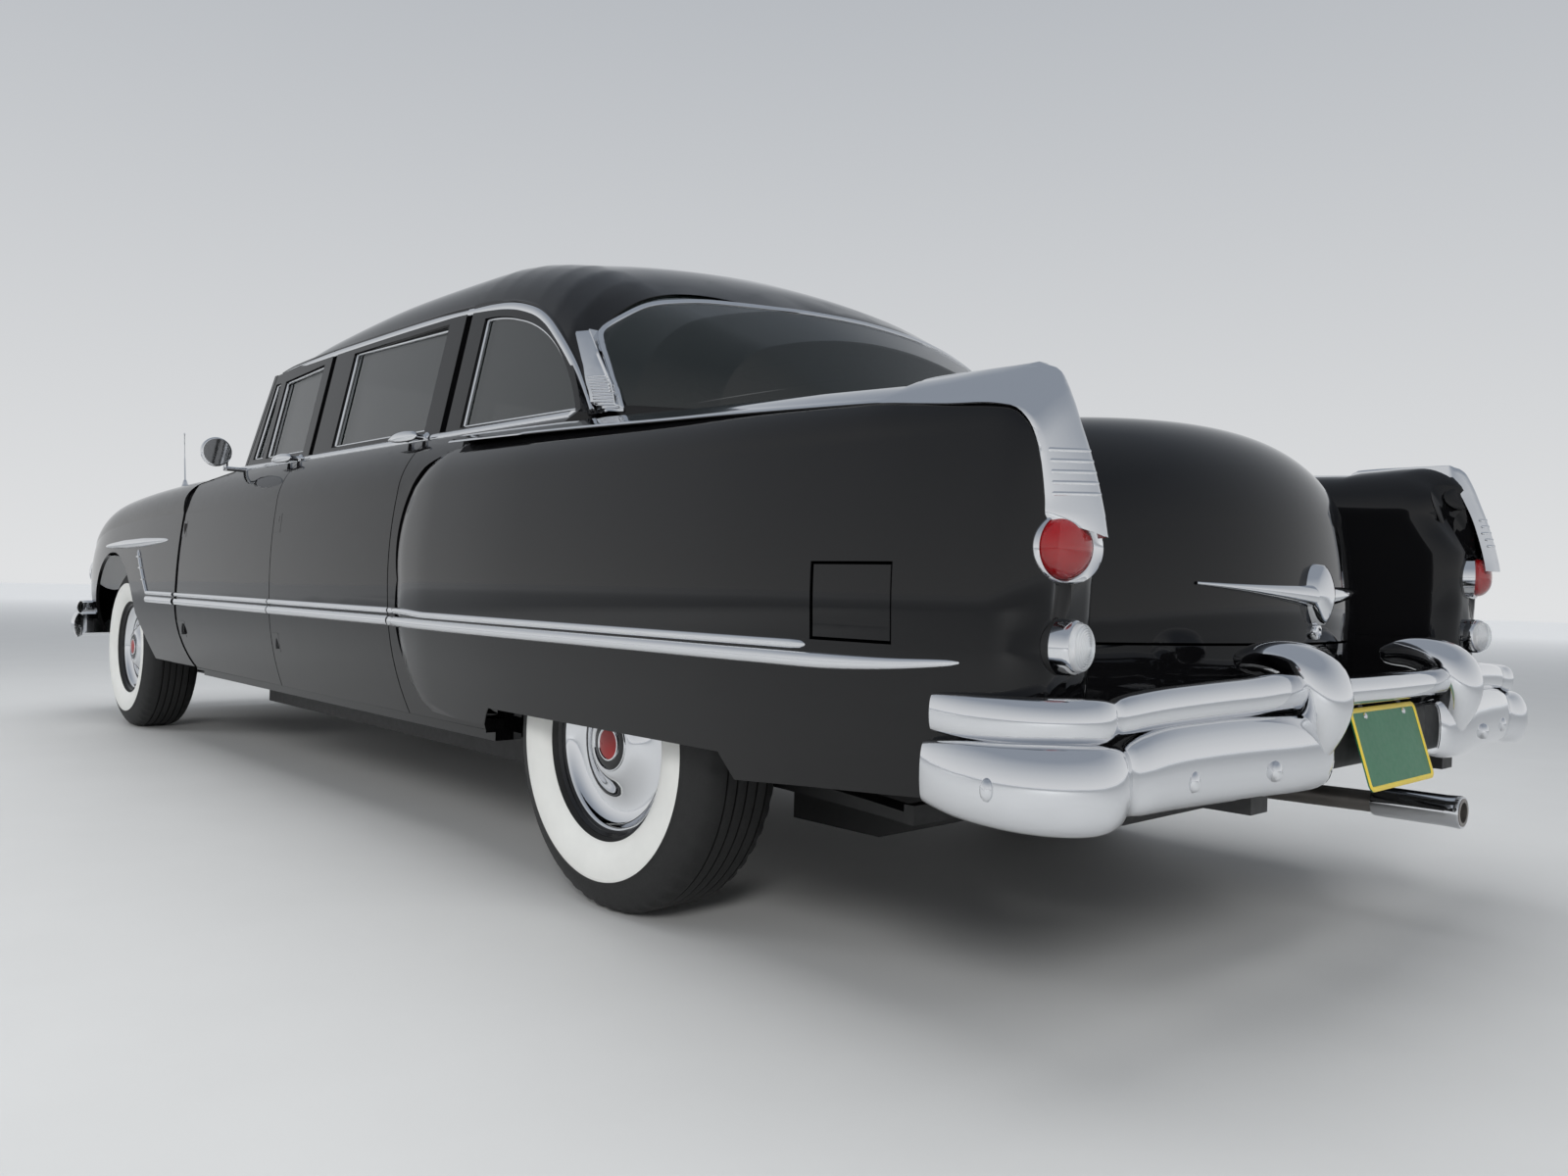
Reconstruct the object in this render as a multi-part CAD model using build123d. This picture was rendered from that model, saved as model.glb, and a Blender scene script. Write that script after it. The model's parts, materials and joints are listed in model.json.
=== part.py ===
from build123d import *
import math
import os

# A long-wheelbase four-door limousine of the early 1950s, in millimetres.
# X points forward, Y to the left and Z up from the ground, with the origin under the middle.

# Wheels, axles and running gear
WHEELBASE = 3785.0
FRONT_AXLE_X = 2110.0
REAR_AXLE_X = FRONT_AXLE_X - WHEELBASE
TYRE_RADIUS = 355.0
TYRE_WIDTH = 216.0
RIM_RADIUS = 190.0
FRONT_WHEEL_Y = 765.0
REAR_WHEEL_Y = 782.0
KINGPIN_Y = 655.0
AXLE_TUBE_RADIUS = 42.0

# Body side, read from the sill to the roof rail
SILL_Z = 338.0
SIDE_Y = 946.0
SIDE_Z = 640.0
BELT_Y = 862.0
BELT_Z = 1062.0
FRAME_FOOT_Y = 826.0
FRAME_FOOT_Z = 1090.0
FRAME_LEAN = 0.22
DOOR_WALL = 52.0
DOOR_SKIN = 20.0
SHEET = 14.0
SHUT_GAP = 5.0
ROOF_WALL = 30.0
GLASS = 6.0

# Shut lines and pillars
DOOR_FRONT_X = FRONT_AXLE_X - 1006.0
CENTRE_PILLAR_X = FRONT_AXLE_X - 1982.0
DOOR_REAR_X = REAR_AXLE_X + 893.0
PILLAR_GAP = 36.0
HINGE_Y = 930.0
HINGE_PIN = 6.0
HINGE_FIT = 0.3
HINGE_Z = (480.0, 860.0)

# Front end
HOOD_REAR_X = FRONT_AXLE_X - 1105.0
FASCIA_X = FRONT_AXLE_X + 680.0
GRILLE_HALF = 555.0
HEADLAMP_Y = 775.0
HEADLAMP_Z = 745.0
HEADLAMP_RADIUS = 98.0
ARCH_RADIUS = 422.0

# Tail end
POD_INNER_Y = 745.0
TAIL_LAMP_Y = 872.0
TAIL_LAMP_Z = 763.0
TAIL_LAMP_RADIUS = 56.0
REVERSE_LAMP_Y = 851.0
REVERSE_LAMP_Z = 621.0
REVERSE_LAMP_RADIUS = 46.0
FUEL_PIN_X = REAR_AXLE_X - 733.0
FUEL_PIN_Y = 974.0
LID_HALF = 690.0
LID_FRONT_X = REAR_AXLE_X - 195.0
LID_LOW_Z = 616.0
LID_HINGE_X = LID_FRONT_X + 170.0
LID_HINGE_Z = 1035.0
LID_ARM_Y = 400.0
HOOD_WALL = 12.0
HOOD_HINGE_X = HOOD_REAR_X - 96.0
HOOD_HINGE_Z = 1097.0
HOOD_ARM_Y = 80.0
TUNNEL_HALF = 60.0
TUNNEL_Z = 390.0
SHAFT_Z = 335.0
BUMPER_FRONT_X = FRONT_AXLE_X + 868.0
BUMPER_REAR_X = REAR_AXLE_X - 1267.0
GUARD_REAR_X = REAR_AXLE_X - 1303.0
GUARD_Y = 320.0
GUARD_WIDTH = 96.0

# Driver's controls and mirror
COLUMN_TOP = (FRONT_AXLE_X - 1680.0, 400.0, 905.0)
COLUMN_LEAN = 32.0
MIRROR_X = FRONT_AXLE_X - 1458.0

# Frame and floor
RAIL_TOP_Z = 300.0
RAIL_HEIGHT = 120.0
TAIL_RAIL_Z = 350.0
FLOOR = 12.0
FLOOR_Z = 312.0
BOOT_FLOOR_Z = 432.0
SILL_TOP_Z = 430.0


def fx(ahead):
    """X of a place by its distance ahead of the front axle."""
    return FRONT_AXLE_X + ahead


def rx(behind):
    """X of a place by its distance behind the rear axle."""
    return REAR_AXLE_X - behind


PLACE = {
    "x": lambda at, u, v: (at, u, v),
    "y": lambda at, u, v: (u, at, v),
    "z": lambda at, u, v: (u, v, at),
}


def outline(normal, at, start, *segments):
    """Closed wire across an axis. A segment is an end point, or an arc's middle and end points."""
    place = PLACE[normal]
    edges = []
    here = place(at, *start)
    for segment in (*segments, start):
        there = place(at, *segment[-2:])
        if len(segment) == 4:
            edges.append(Edge.make_three_point_arc(here, place(at, *segment[:2]), there))
        elif (Vector(*there) - Vector(*here)).length > 1e-6:
            edges.append(Edge.make_line(here, there))
        here = there
    return Wire(edges)


def prism(normal, low, high, start, *segments):
    """Solid between two places on an axis, with one outline."""
    push = Vector(*PLACE[normal](high - low, 0, 0))
    return Part() + Solid.extrude(Face(outline(normal, low, start, *segments)), push)


def skin(wires, ruled=False):
    """Solid through a row of closed sections."""
    return Part() + Solid.make_loft(wires, ruled)


def column_at(places, values, place):
    """Smooth value between listed ones, which never swings past them."""
    rise = [(b - a) / (q - p) for a, b, p, q in zip(values, values[1:], places, places[1:])]
    slope = [rise[0]]
    for before, after in zip(rise, rise[1:]):
        slope.append(2 * before * after / (before + after) if before * after > 0 else 0.0)
    slope.append(rise[-1])
    i = max(k for k in range(len(places) - 1) if k == 0 or places[k] <= place)
    span = places[i + 1] - places[i]
    t = (place - places[i]) / span
    bend0 = slope[i] * span - (values[i + 1] - values[i])
    bend1 = -slope[i + 1] * span + (values[i + 1] - values[i])
    return (1 - t) * values[i] + t * values[i + 1] + t * (1 - t) * ((1 - t) * bend0 + t * bend1)


def even(rows, count):
    """A table of sections, x first, drawn again at even spacing."""
    first = rows[0][0]
    places = [abs(row[0] - first) for row in rows]
    result = []
    for i in range(count):
        place = places[-1] * i / (count - 1)
        result.append(tuple(column_at(places, [row[k] for row in rows],
                                      place) for k in range(len(rows[0]))))
    return result


def block(x0, x1, y0, y1, z0, z1):
    return prism("z", z0, z1, (x0, y0), (x1, y0), (x1, y1), (x0, y1))


def rod(axis, radius, start, length):
    """Round bar from a start point along an axis."""
    turn = {"x": (0, 90, 0), "y": (-90, 0, 0), "z": (0, 0, 0)}[axis]
    return Location(start, turn) * Cylinder(radius, length, align=(Align.CENTER, Align.CENTER, Align.MIN))


def right(shape):
    return mirror(shape, about=Plane.XZ)


def both(shape):
    return shape + right(shape)


# Greenhouse

def frame_y(z):
    """Outer face of the window frames at a height."""
    return FRAME_FOOT_Y - FRAME_LEAN * (z - FRAME_FOOT_Z)


def rail_z(x):
    """Height of the roof edge over the doors, highest near the centre pillar."""
    along = x - CENTRE_PILLAR_X
    return 1449.0 - 0.0277 * along - 0.00004 * along ** 2


def rail_arc(x0, x1, drop):
    """The roof edge from one place to another, as an arc's middle and end."""
    return ((x0 + x1) / 2, rail_z((x0 + x1) / 2) - drop, x1, rail_z(x1) - drop)


def rail_path(drop):
    """Upper edge of the doors and the quarter window, under the drip rail, from front to back."""
    return [
        (fx(-1450), rail_z(fx(-1450)) - drop),
        rail_arc(fx(-1450), DOOR_REAR_X, drop),
        (rx(-547), 1386 - drop, rx(-354), 1278 - drop),
        (rx(-265), 1183 - drop, rx(-200), 1083 - drop),
    ]


# Roof sections: x, half width, side height, crown height
ROOF = [
    (fx(-1310), 740, 1386, 1470),
    (fx(-1810), 745, 1430, 1578),
    (fx(-2410), 745, 1434, 1630),
    (rx(-875), 747, 1420, 1634),
    (rx(-525), 766, 1350, 1584),
    (rx(-275), 800, 1178, 1502),
    (rx(-175), 792, 1072, 1455),
    (rx(-55), 655, 1072, 1375),
    (rx(35), 440, 1072, 1270),
    (rx(85), 210, 1072, 1140),
]


def roof_arch(half, side, crown, inset):
    """Left edge to right edge of a roof section: shoulder, crown and shoulder arcs."""
    half, crown = half - inset, crown - inset
    rise = crown - side
    shoulder = (0.72 * half, side + 0.76 * rise)
    corner = (0.9 * half, side + 0.513 * rise)
    return [
        (*corner, *shoulder),
        (0, crown, -shoulder[0], shoulder[1]),
        (-corner[0], corner[1], -half, side),
    ]


def roof_back(path):
    """The same arch, walked the other way."""
    (ca, cb, sa, sb), (_, crown, _, _), (_, _, low_y, low_z) = path
    return [(-ca, cb, -sa, sb), (0, crown, sa, sb), (ca, cb, -low_y, low_z)]


def roof_shell(wall, outer=0.0):
    wires = []
    for x, half, side, crown in even(ROOF, 26):
        outside = roof_arch(half, side, crown, outer)
        inside = roof_back(roof_arch(half, side, crown, outer + wall))
        inner_half = half - outer - wall
        wires.append(outline("x", x, (half - outer, side), *outside, (-inner_half, side), *inside))
    return skin(wires, ruled=True)


def above_roof(inset):
    """Everything above the underside of the roof skin, to trim what meets it."""
    wires = []
    for x, half, side, crown in even(ROOF, 26)[:8]:
        arch = roof_arch(half, side, crown, inset)
        wires.append(outline("x", x, (half - inset, side), *arch, (-half, side), (-half, 1900),
                             (half, 1900),
                             (half, side)))
    return skin(wires, ruled=True)


# Windscreen levels: height, side x, side y, middle x
SCREEN = [
    (1060, fx(-1316), 795, fx(-1202)),
    (1520, fx(-1430), 690, fx(-1378)),
]


def screen_skin(forward, wall, trim):
    wires = []
    for z, side_x, side_y, mid_x in SCREEN:
        half = side_y - trim
        front = side_x + forward
        wires.append(
            outline("z", z, (front, half), (mid_x + forward, 0, front, -half), (front - wall, -half),
                    (mid_x + forward - wall, 0, front - wall, half)))
    return skin(wires, ruled=True)


def ahead_of_screen(forward):
    """Everything in front of the windscreen's outer face."""
    wires = []
    for z, side_x, side_y, mid_x in SCREEN:
        front = side_x + forward
        wires.append(
            outline("z", z, (front, side_y), (mid_x + forward, 0, front, -side_y), (front - 150, -1000),
                    (fx(-900), -1000), (fx(-900), 1000), (front - 150, 1000)))
    return skin(wires, ruled=True)


def behind_screen(forward):
    """The cabin side of the windscreen, to open the cowl top."""
    wires = []
    for z, side_x, side_y, mid_x in SCREEN:
        front = side_x + forward
        wires.append(
            outline("z", z, (front, side_y), (mid_x + forward, 0, front, -side_y), (fx(-1700), -side_y),
                    (fx(-1700), side_y)))
    return skin(wires, ruled=True)


def rear_window_cut(grow):
    """Opening of the rear window: an arch seen from behind, open to the back past the pillar line."""
    arch = prism("x", rx(200), rx(-400), (900, 1098 - grow), (900, 1250), (752 + grow, 1284),
                 (640 + grow, 1375 + grow, 396, 1401 + grow), (0, 1412 + grow, -396, 1401 + grow),
                 (-640 - grow, 1375 + grow, -752 - grow, 1284), (-900, 1250), (-900, 1098 - grow))
    side = prism("y", -1000, 1000, (rx(-128) + grow, 1090 - grow), (rx(-250) + grow, 1284),
                 (rx(-250) + grow, 1500), (rx(250), 1500), (rx(250), 1090 - grow))
    return arch & side


def make_roof():
    shell = roof_shell(ROOF_WALL)
    below = prism("y", -1000, 1000, (fx(-1000), rail_z(fx(-1450))), *rail_path(0), (rx(-200), 900),
                  (fx(-1000), 900))
    return shell - below - rear_window_cut(0) - ahead_of_screen(2)


def make_windscreen():
    glass = screen_skin(0, GLASS, 22)
    return glass - above_roof(ROOF_WALL + 1) - block(fx(-1700), fx(-900), -1000, 1000, 1000, 1078)


def make_rear_glass():
    rear = roof_shell(GLASS, 6.0) & rear_window_cut(-1)
    quarter = side_band(12.0 + GLASS, 12.0) & prism("y", 0, 1000, *quarter_window(-0.5))
    return rear + both(quarter)


# Body side

def side_path(shift, bottom=SILL_Z):
    """Outer skin from the sill up to the roof rail, moved in by a shift."""
    top = 1475.0
    return [
        (SIDE_Y - 48 - shift, bottom),
        (SIDE_Y - 14 - shift, (bottom + SIDE_Z) / 2 - 20, SIDE_Y - shift, SIDE_Z),
        (SIDE_Y - 3 - shift, 790, SIDE_Y - 16 - shift, 920),
        (SIDE_Y - 40 - shift, 1004, BELT_Y - shift, BELT_Z),
        (FRAME_FOOT_Y - shift, FRAME_FOOT_Z),
        (frame_y(top) - shift, top),
    ]


def walk_back(path):
    """The same path from its end to its start."""
    points = [segment[-2:] for segment in path]
    back = [points[-1]]
    for i in range(len(path) - 1, 0, -1):
        middle = path[i][:2] if len(path[i]) == 4 else ()
        back.append((*middle, *points[i - 1]))
    return back


# Plan curve of the body side: x, how far in from the widest part
SIDE_PLAN = [(fx(-900), 5.0), (fx(-1900), 0.0), (rx(-900), 0.0), (rx(-100), 3.0)]


def side_band(outer_to, outer_from=0.0, bottom=SILL_Z):
    """Left body side between two depths below the outer skin."""
    wires = []
    for x, inward in SIDE_PLAN:
        out = side_path(inward + outer_from, bottom)
        back = walk_back(side_path(inward + outer_to, bottom))
        wires.append(outline("x", x, out[0], *out[1:], *back))
    return skin(wires)


def front_door_edge(inset, frame_inset):
    """Front door seen from the side. The frame above the belt stands further off the pillar."""
    x0 = CENTRE_PILLAR_X + SHUT_GAP / 2 + inset
    x1 = DOOR_FRONT_X - inset
    frame_x = CENTRE_PILLAR_X + PILLAR_GAP / 2 + frame_inset
    low = SILL_Z + inset
    drop = SHUT_GAP + inset
    return [
        (x0, low),
        (x1 - 84, low),
        (x1 + 28, 440, x1 + 46, 590),
        (x1 + 14, 780, x1, 955),
        (x1 - 12, 1015 - inset, x1 - 62, 1034 - inset),
        (fx(-1350) - inset, 1060 - inset),
        (fx(-1374) - inset, FRAME_FOOT_Z),
        (fx(-1457) - inset, rail_z(fx(-1457) - inset) - drop),
        rail_arc(fx(-1457) - inset, frame_x, drop),
        (frame_x, FRAME_FOOT_Z - 4),
        (x0, BELT_Z),
    ]


def rear_door_edge(inset, frame_inset):
    x0 = DOOR_REAR_X + inset
    x1 = CENTRE_PILLAR_X - SHUT_GAP / 2 - inset
    frame_front = CENTRE_PILLAR_X - PILLAR_GAP / 2 - frame_inset
    low = SILL_Z + inset
    drop = SHUT_GAP + inset
    return [
        (x0 - 15, low),
        (x1, low),
        (x1, BELT_Z),
        (frame_front, FRAME_FOOT_Z - 4),
        (frame_front, rail_z(frame_front) - drop),
        rail_arc(frame_front, x0, drop),
        (x0, FRAME_FOOT_Z - 4),
        (x0, BELT_Z),
        (x0 + 35, 760, x0 - 15, low),
    ]


def door_window(grow):
    """Front door glass."""
    x0 = CENTRE_PILLAR_X + 77 - grow
    x1 = fx(-1554) + grow
    return [(x0, 1104 - grow), (x1, 1104 - grow), (x1 - 8, 1384 + grow), (x0, 1404 + grow)]


def vent_window(grow):
    return [(fx(-1520) - grow, 1106 - grow), (fx(-1420) + grow, 1108 - grow),
            (fx(-1465) + grow, 1384 + grow),
            (fx(-1515) - grow, 1384 + grow)]


def rear_door_window(grow):
    x0 = DOOR_REAR_X + 95 - grow
    x1 = CENTRE_PILLAR_X - 166 + grow
    return [(x0, 1100 - grow), (x1, 1100 - grow), (x1, 1410 + grow), (x0, 1408 + grow)]


def quarter_window(grow):
    x1 = DOOR_REAR_X - 114 + grow
    return [(x1, 1092 - grow), (rx(-224) - grow, 1088 - grow),
            (rx(-345) - grow, 1238 + grow, rx(-600), 1366 + grow),
            (x1 - 80, 1386 + grow, x1, 1392 + grow)]


def hinge_axis(front_x):
    return front_x - 45.0


def hinge_notch(axis_x, z):
    """Recess in the door's front inner corner that the hinge arm sweeps through."""
    return block(axis_x - 16, axis_x + 130, HINGE_Y - 60, HINGE_Y + 9, z - 26, z + 26)


def door_knuckle(axis_x, z):
    """Eye on the door, round the hinge pin."""
    eye = rod("z", HINGE_PIN + 6, (axis_x, HINGE_Y - 4, z - 11.7), 23.4)
    web = block(axis_x - 18, axis_x, HINGE_Y - 12, HINGE_Y + 4, z - 11.7, z + 11.7)
    hole = rod("z", HINGE_PIN + HINGE_FIT, (axis_x, HINGE_Y - 4, z - 30), 60)
    return eye + web - hole


def hinge_fork(axis_x, z, pillar_y):
    """Fork on the pillar with the hinge pin through it."""
    fork = rod("z", HINGE_PIN, (axis_x, HINGE_Y - 4, z - 20), 40)
    for low in (z - 20, z + 12):
        fork = fork + rod("z", HINGE_PIN + 5, (axis_x, HINGE_Y - 4, low), 8)
        fork = fork + block(axis_x - 8, axis_x + 8, pillar_y, HINGE_Y - 4, low, low + 8)
    return fork


def door(edge, windows, axis_x):
    """One left door: outer skin to the shut lines, inner trim set back from them, windows cut."""
    outer = side_band(DOOR_SKIN) & prism("y", 0, 1100, *edge(0, 0))
    inner = side_band(DOOR_WALL, DOOR_SKIN) & prism("y", 0, 1100, *edge(14, 6))
    shell = outer + inner
    for window in windows:
        shell = shell - prism("y", 0, 1100, *window)
    for z in HINGE_Z:
        shell = shell - hinge_notch(axis_x, z)
        shell = shell + door_knuckle(axis_x, z)
    return shell


def door_glass(windows):
    pane = side_band(16.0 + GLASS, 16.0)
    parts = Part()
    for window in windows:
        parts = parts + (pane & prism("y", 0, 1100, *window))
    return parts


FRONT_HINGE_X = hinge_axis(DOOR_FRONT_X + 16)
REAR_HINGE_X = hinge_axis(CENTRE_PILLAR_X)


def make_side():
    """Left sill, centre pillar, rear door pillar and quarter panel."""
    sill = prism("x", rx(-520), fx(-1000), (770, RAIL_TOP_Z), (842, RAIL_TOP_Z), (842, 322), (868, 322),
                 (868, 330), (838, 345), (838, SILL_TOP_Z), (770, SILL_TOP_Z))
    rail = rail_path(0.6)
    quarter_edge = [(DOOR_REAR_X - SHUT_GAP - 15, SILL_Z), (rx(-470), SILL_Z), (rx(-420), 800),
                    (rx(-200), 900),
                    (rail[3][2], rail[3][3]), (rail[3][0], rail[3][1], rail[2][2], rail[2][3]),
                    (rail[2][0], rail[2][1], rail[1][2], rail[1][3]), (DOOR_REAR_X, BELT_Z),
                    (DOOR_REAR_X - SHUT_GAP, BELT_Z),
                    (DOOR_REAR_X + 30, 760, DOOR_REAR_X - SHUT_GAP - 15, SILL_Z)]
    quarter = side_band(DOOR_WALL) & prism("y", 0, 1100, *quarter_edge)
    quarter = quarter - prism("y", 0, 1100, *quarter_window(0))
    quarter = quarter - block(DOOR_REAR_X - PILLAR_GAP, DOOR_REAR_X + 50, 700, 900, FRAME_FOOT_Z - 4, 1500)
    quarter = quarter - (rear_fender_body(-0.5) & prism("y", 600, 1100, *fender_side_edge()))
    panel = sill + quarter + inner_pillar(CENTRE_PILLAR_X, 60) + inner_pillar(DOOR_REAR_X - 22, 60)
    for z in HINGE_Z:
        panel = panel + hinge_fork(REAR_HINGE_X, z, 820)
    return panel


def inner_pillar(x, width):
    """Leaning pillar inside the doors, from the sill to the roof."""
    gap = DOOR_WALL + SHUT_GAP
    foot = FRAME_FOOT_Y - gap
    top = frame_y(1425) - gap
    return prism("x", x - width, x + width / 2, (foot - 20, 430), (838, 430), (838, 900), (foot, 1040),
                 (foot, FRAME_FOOT_Z), (top, 1425), (top - 34, 1425), (foot - 40, 1040), (foot - 40, 430))


# Front fenders, hood and cowl

# x, widest y, crown y, crown z, hood edge y, hood edge z, bottom z
FRONT_FENDER = [
    (HOOD_REAR_X - 2, 946, 860, 1052, 622, 1040, 338),
    (fx(-610), 946, 857, 1040, 590, 1017, 338),
    (fx(0), 941, 850, 1008, 502, 977, 338),
    (fx(340), 926, 840, 955, 442, 927, 380),
    (fx(540), 900, 822, 893, 402, 868, 430),
    (FASCIA_X, 858, 790, 815, 372, 795, 450),
]


def fender_wire(row, wall):
    x, side, crown_y, crown_z, edge_y, edge_z, low = row
    tall = crown_z - low
    mid_z = low + 0.43 * tall
    top_z = crown_z - 0.18 * tall

    def path(t):
        return [
            (side - 48 - t, low),
            (side - 14 - t, (low + mid_z) / 2 - 15, side - t, mid_z),
            (side - 3 - t, (mid_z + top_z) / 2 + 8, side - 16 - t, top_z),
            (side - 36 - t, crown_z - 0.06 * tall - t * 0.6, crown_y - t * 0.4, crown_z - t),
            ((crown_y + edge_y) / 2, (crown_z + edge_z) / 2 + 6 - t, edge_y + SHUT_GAP, edge_z - t),
        ]

    out = path(0)
    return outline("x", x, out[0], *out[1:], *walk_back(path(wall)))


def make_front_fender():
    shell = skin([fender_wire(row, SHEET) for row in even(FRONT_FENDER, 10)])
    x1 = DOOR_FRONT_X + SHUT_GAP
    shell = shell - prism("y", 700, 1100, (fx(-1400), 200), (x1 - 84, SILL_Z - 60),
                          (x1 - 84, SILL_Z - SHUT_GAP),
                          (x1 + 28, 440, x1 + 46, 590), (x1 + 14, 780, x1, 955),
                          (x1 - 10, 1021, x1 - 62, 1040), (fx(-1400), 1068))
    arch = prism("y", 700, 1100, (fx(-560), 200), (fx(-560), 330), (fx(-470), 440, fx(-388), 520),
                 (fx(0), ARCH_RADIUS + TYRE_RADIUS, fx(388), 520), (fx(420), 440, fx(440), 360),
                 (fx(440), 200))
    shell = shell - arch
    cap_row = FRONT_FENDER[-1]
    cap = prism("x", FASCIA_X - SHEET, FASCIA_X, (GRILLE_HALF + 50, cap_row[6]),
                (cap_row[1] - 48, cap_row[6]),
                (cap_row[1] - 14, 520, cap_row[1], 607), (cap_row[1] - 3, 690, cap_row[1] - 16, 749),
                (cap_row[1] - 36, 793, cap_row[2], cap_row[3]), (GRILLE_HALF + 50, cap_row[3] - 10))
    cap = cap - rod("x", HEADLAMP_RADIUS - 14, (FASCIA_X - 50, HEADLAMP_Y, HEADLAMP_Z - 60), 100)
    return shell + cap


# x, half width, edge z, crown z
HOOD = [
    (HOOD_REAR_X, 620, 1040, 1132),
    (fx(-610), 588, 1017, 1112),
    (fx(0), 500, 977, 1065),
    (fx(340), 440, 927, 1005),
    (fx(540), 400, 868, 935),
    (FASCIA_X - 20, 374, 801, 850),
]


def hood_wire(row, wall):
    x, half, edge, crown = row
    return outline("x", x, (half, edge), (0, crown, -half, edge), (-half + 2, edge - wall),
                   (0, crown - wall, half - 2, edge - wall))


def make_hood():
    return skin([hood_wire(row, HOOD_WALL) for row in even(HOOD, 9)]) + both(hood_arm())


def swan_neck(pin_x, pin_y, pin_z, points):
    """Flat arm round a hinge pin, through points counted from the pin."""
    eye = rod("y", HINGE_PIN + 5, (pin_x, pin_y - 4, pin_z), 8)
    arm = prism("y", pin_y - 4, pin_y + 4, *[(pin_x + x, pin_z + z) for x, z in points])
    return eye + arm - rod("y", HINGE_PIN + HINGE_FIT, (pin_x, pin_y - 20, pin_z), 40)


def hinge_hanger(pin_x, pin_y, pin_z, top_z):
    """Bracket beside the arm, with the pin it turns on."""
    plate = block(pin_x - 8, pin_x + 8, pin_y - 14, pin_y - 5, pin_z - 8, top_z)
    return plate + rod("y", HINGE_PIN, (pin_x, pin_y - 10, pin_z), 20)


def hood_arm():
    """Arm that dips under the front edge of the cowl top, so that the hood can swing up."""
    return swan_neck(HOOD_HINGE_X, HOOD_ARM_Y, HOOD_HINGE_Z, [
        (8, -6), (14, -40), (42, -74), (70, -86), (98, -68), (110, -18), (118, 8), (200, 8), (200, 20),
        (112, 24),
        (104, -8), (92, -50), (70, -66), (48, -58), (26, -34), (20, -2), (8, 6), (-6, 6), (-6, -6)])


def make_cowl():
    """Cowl top, firewall, kick panels, hinge pillars and windscreen pillars."""
    def cowl_wire(x, side_y, side_z, edge_y, edge_z, crown, t):
        outside = [((side_y + edge_y) / 2, (side_z + edge_z) / 2 + 4, edge_y, edge_z),
                   (0, crown, -edge_y, edge_z),
                   (-(side_y + edge_y) / 2, (side_z + edge_z) / 2 + 4, -side_y, side_z)]
        inside = [(-side_y, side_z - t), (-(side_y + edge_y) / 2, (side_z + edge_z) / 2 + 4 - t, -edge_y,
                                          edge_z - t),
                  (0, crown - t, edge_y, edge_z - t),
                  ((side_y + edge_y) / 2, (side_z + edge_z) / 2 + 4 - t, side_y, side_z - t)]
        return outline("x", x, (side_y, side_z), *outside, *inside)

    top = skin([cowl_wire(HOOD_REAR_X - SHUT_GAP, 858, 1053, 622, 1040, 1132, SHEET),
                cowl_wire(fx(-1375), 826, 1084, 610, 1085, 1118, SHEET)], ruled=True)
    top = top - behind_screen(1)
    top = top - both(block(fx(-1400), fx(-1350) + SHUT_GAP, 780, 900, 1040, 1100))
    firewall_x = HOOD_REAR_X - 40
    firewall = block(firewall_x - 6, firewall_x, -769, 769, FLOOR_Z, 1044)
    firewall = firewall - block(firewall_x - 6, firewall_x, -TUNNEL_HALF - 13, TUNNEL_HALF + 13, 300,
                                TUNNEL_Z + 13)
    firewall = firewall - block(firewall_x - 6, firewall_x, -HOOD_ARM_Y - 20, HOOD_ARM_Y + 20, 985, 1044)
    firewall = firewall - rod("x", 44, (firewall_x - 10, COLUMN_TOP[1], 573), 20)
    kick = prism("y", 800, 806, (fx(-1350), SILL_TOP_Z), (FRONT_HINGE_X - 29, SILL_TOP_Z),
                 (FRONT_HINGE_X - 29, 1000),
                 (firewall_x, 1000), (firewall_x, 1050), (fx(-1350), 1050))
    kick = kick + block(firewall_x - 6, firewall_x, 768, 801, SILL_TOP_Z + 2, 1044)
    pillar = block(FRONT_HINGE_X - 30, FRONT_HINGE_X + 25, 800, 842, SILL_TOP_Z, 1000)
    for z in HINGE_Z:
        pillar = pillar + hinge_fork(FRONT_HINGE_X, z, 842)
    screen_pillar = side_band(DOOR_WALL) & prism(
        "y", 0, 1100, (fx(-1350) + SHUT_GAP + 2, 1064), (fx(-1374) + SHUT_GAP + 1, FRAME_FOOT_Z + 1),
        (fx(-1452), 1421), (fx(-1380), 1421), (fx(-1250), 1064))
    screen_pillar = screen_pillar - ahead_of_screen(0)
    hanger = hinge_hanger(HOOD_HINGE_X, HOOD_ARM_Y, HOOD_HINGE_Z, 1120)
    return top + firewall + both(kick + pillar + screen_pillar + hanger)


def make_nose():
    """Fascia between the fenders, with the grille opening."""
    fascia = prism("x", FASCIA_X - SHEET, FASCIA_X, (604.7, 440), (604.7, 780.7), (374, 780.7),
                   (372, 795), (0, 845, -372, 795), (-374, 780.7), (-604.7, 780.7), (-604.7, 440), (0, 430))
    opening = prism("x", FASCIA_X - 60, FASCIA_X + 60, (GRILLE_HALF - 90, 520),
                    (GRILLE_HALF, 640, GRILLE_HALF - 90, 745),
                    (0, 765, -GRILLE_HALF + 90, 745), (-GRILLE_HALF, 640, -GRILLE_HALF + 90, 520))
    return fascia - opening


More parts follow.
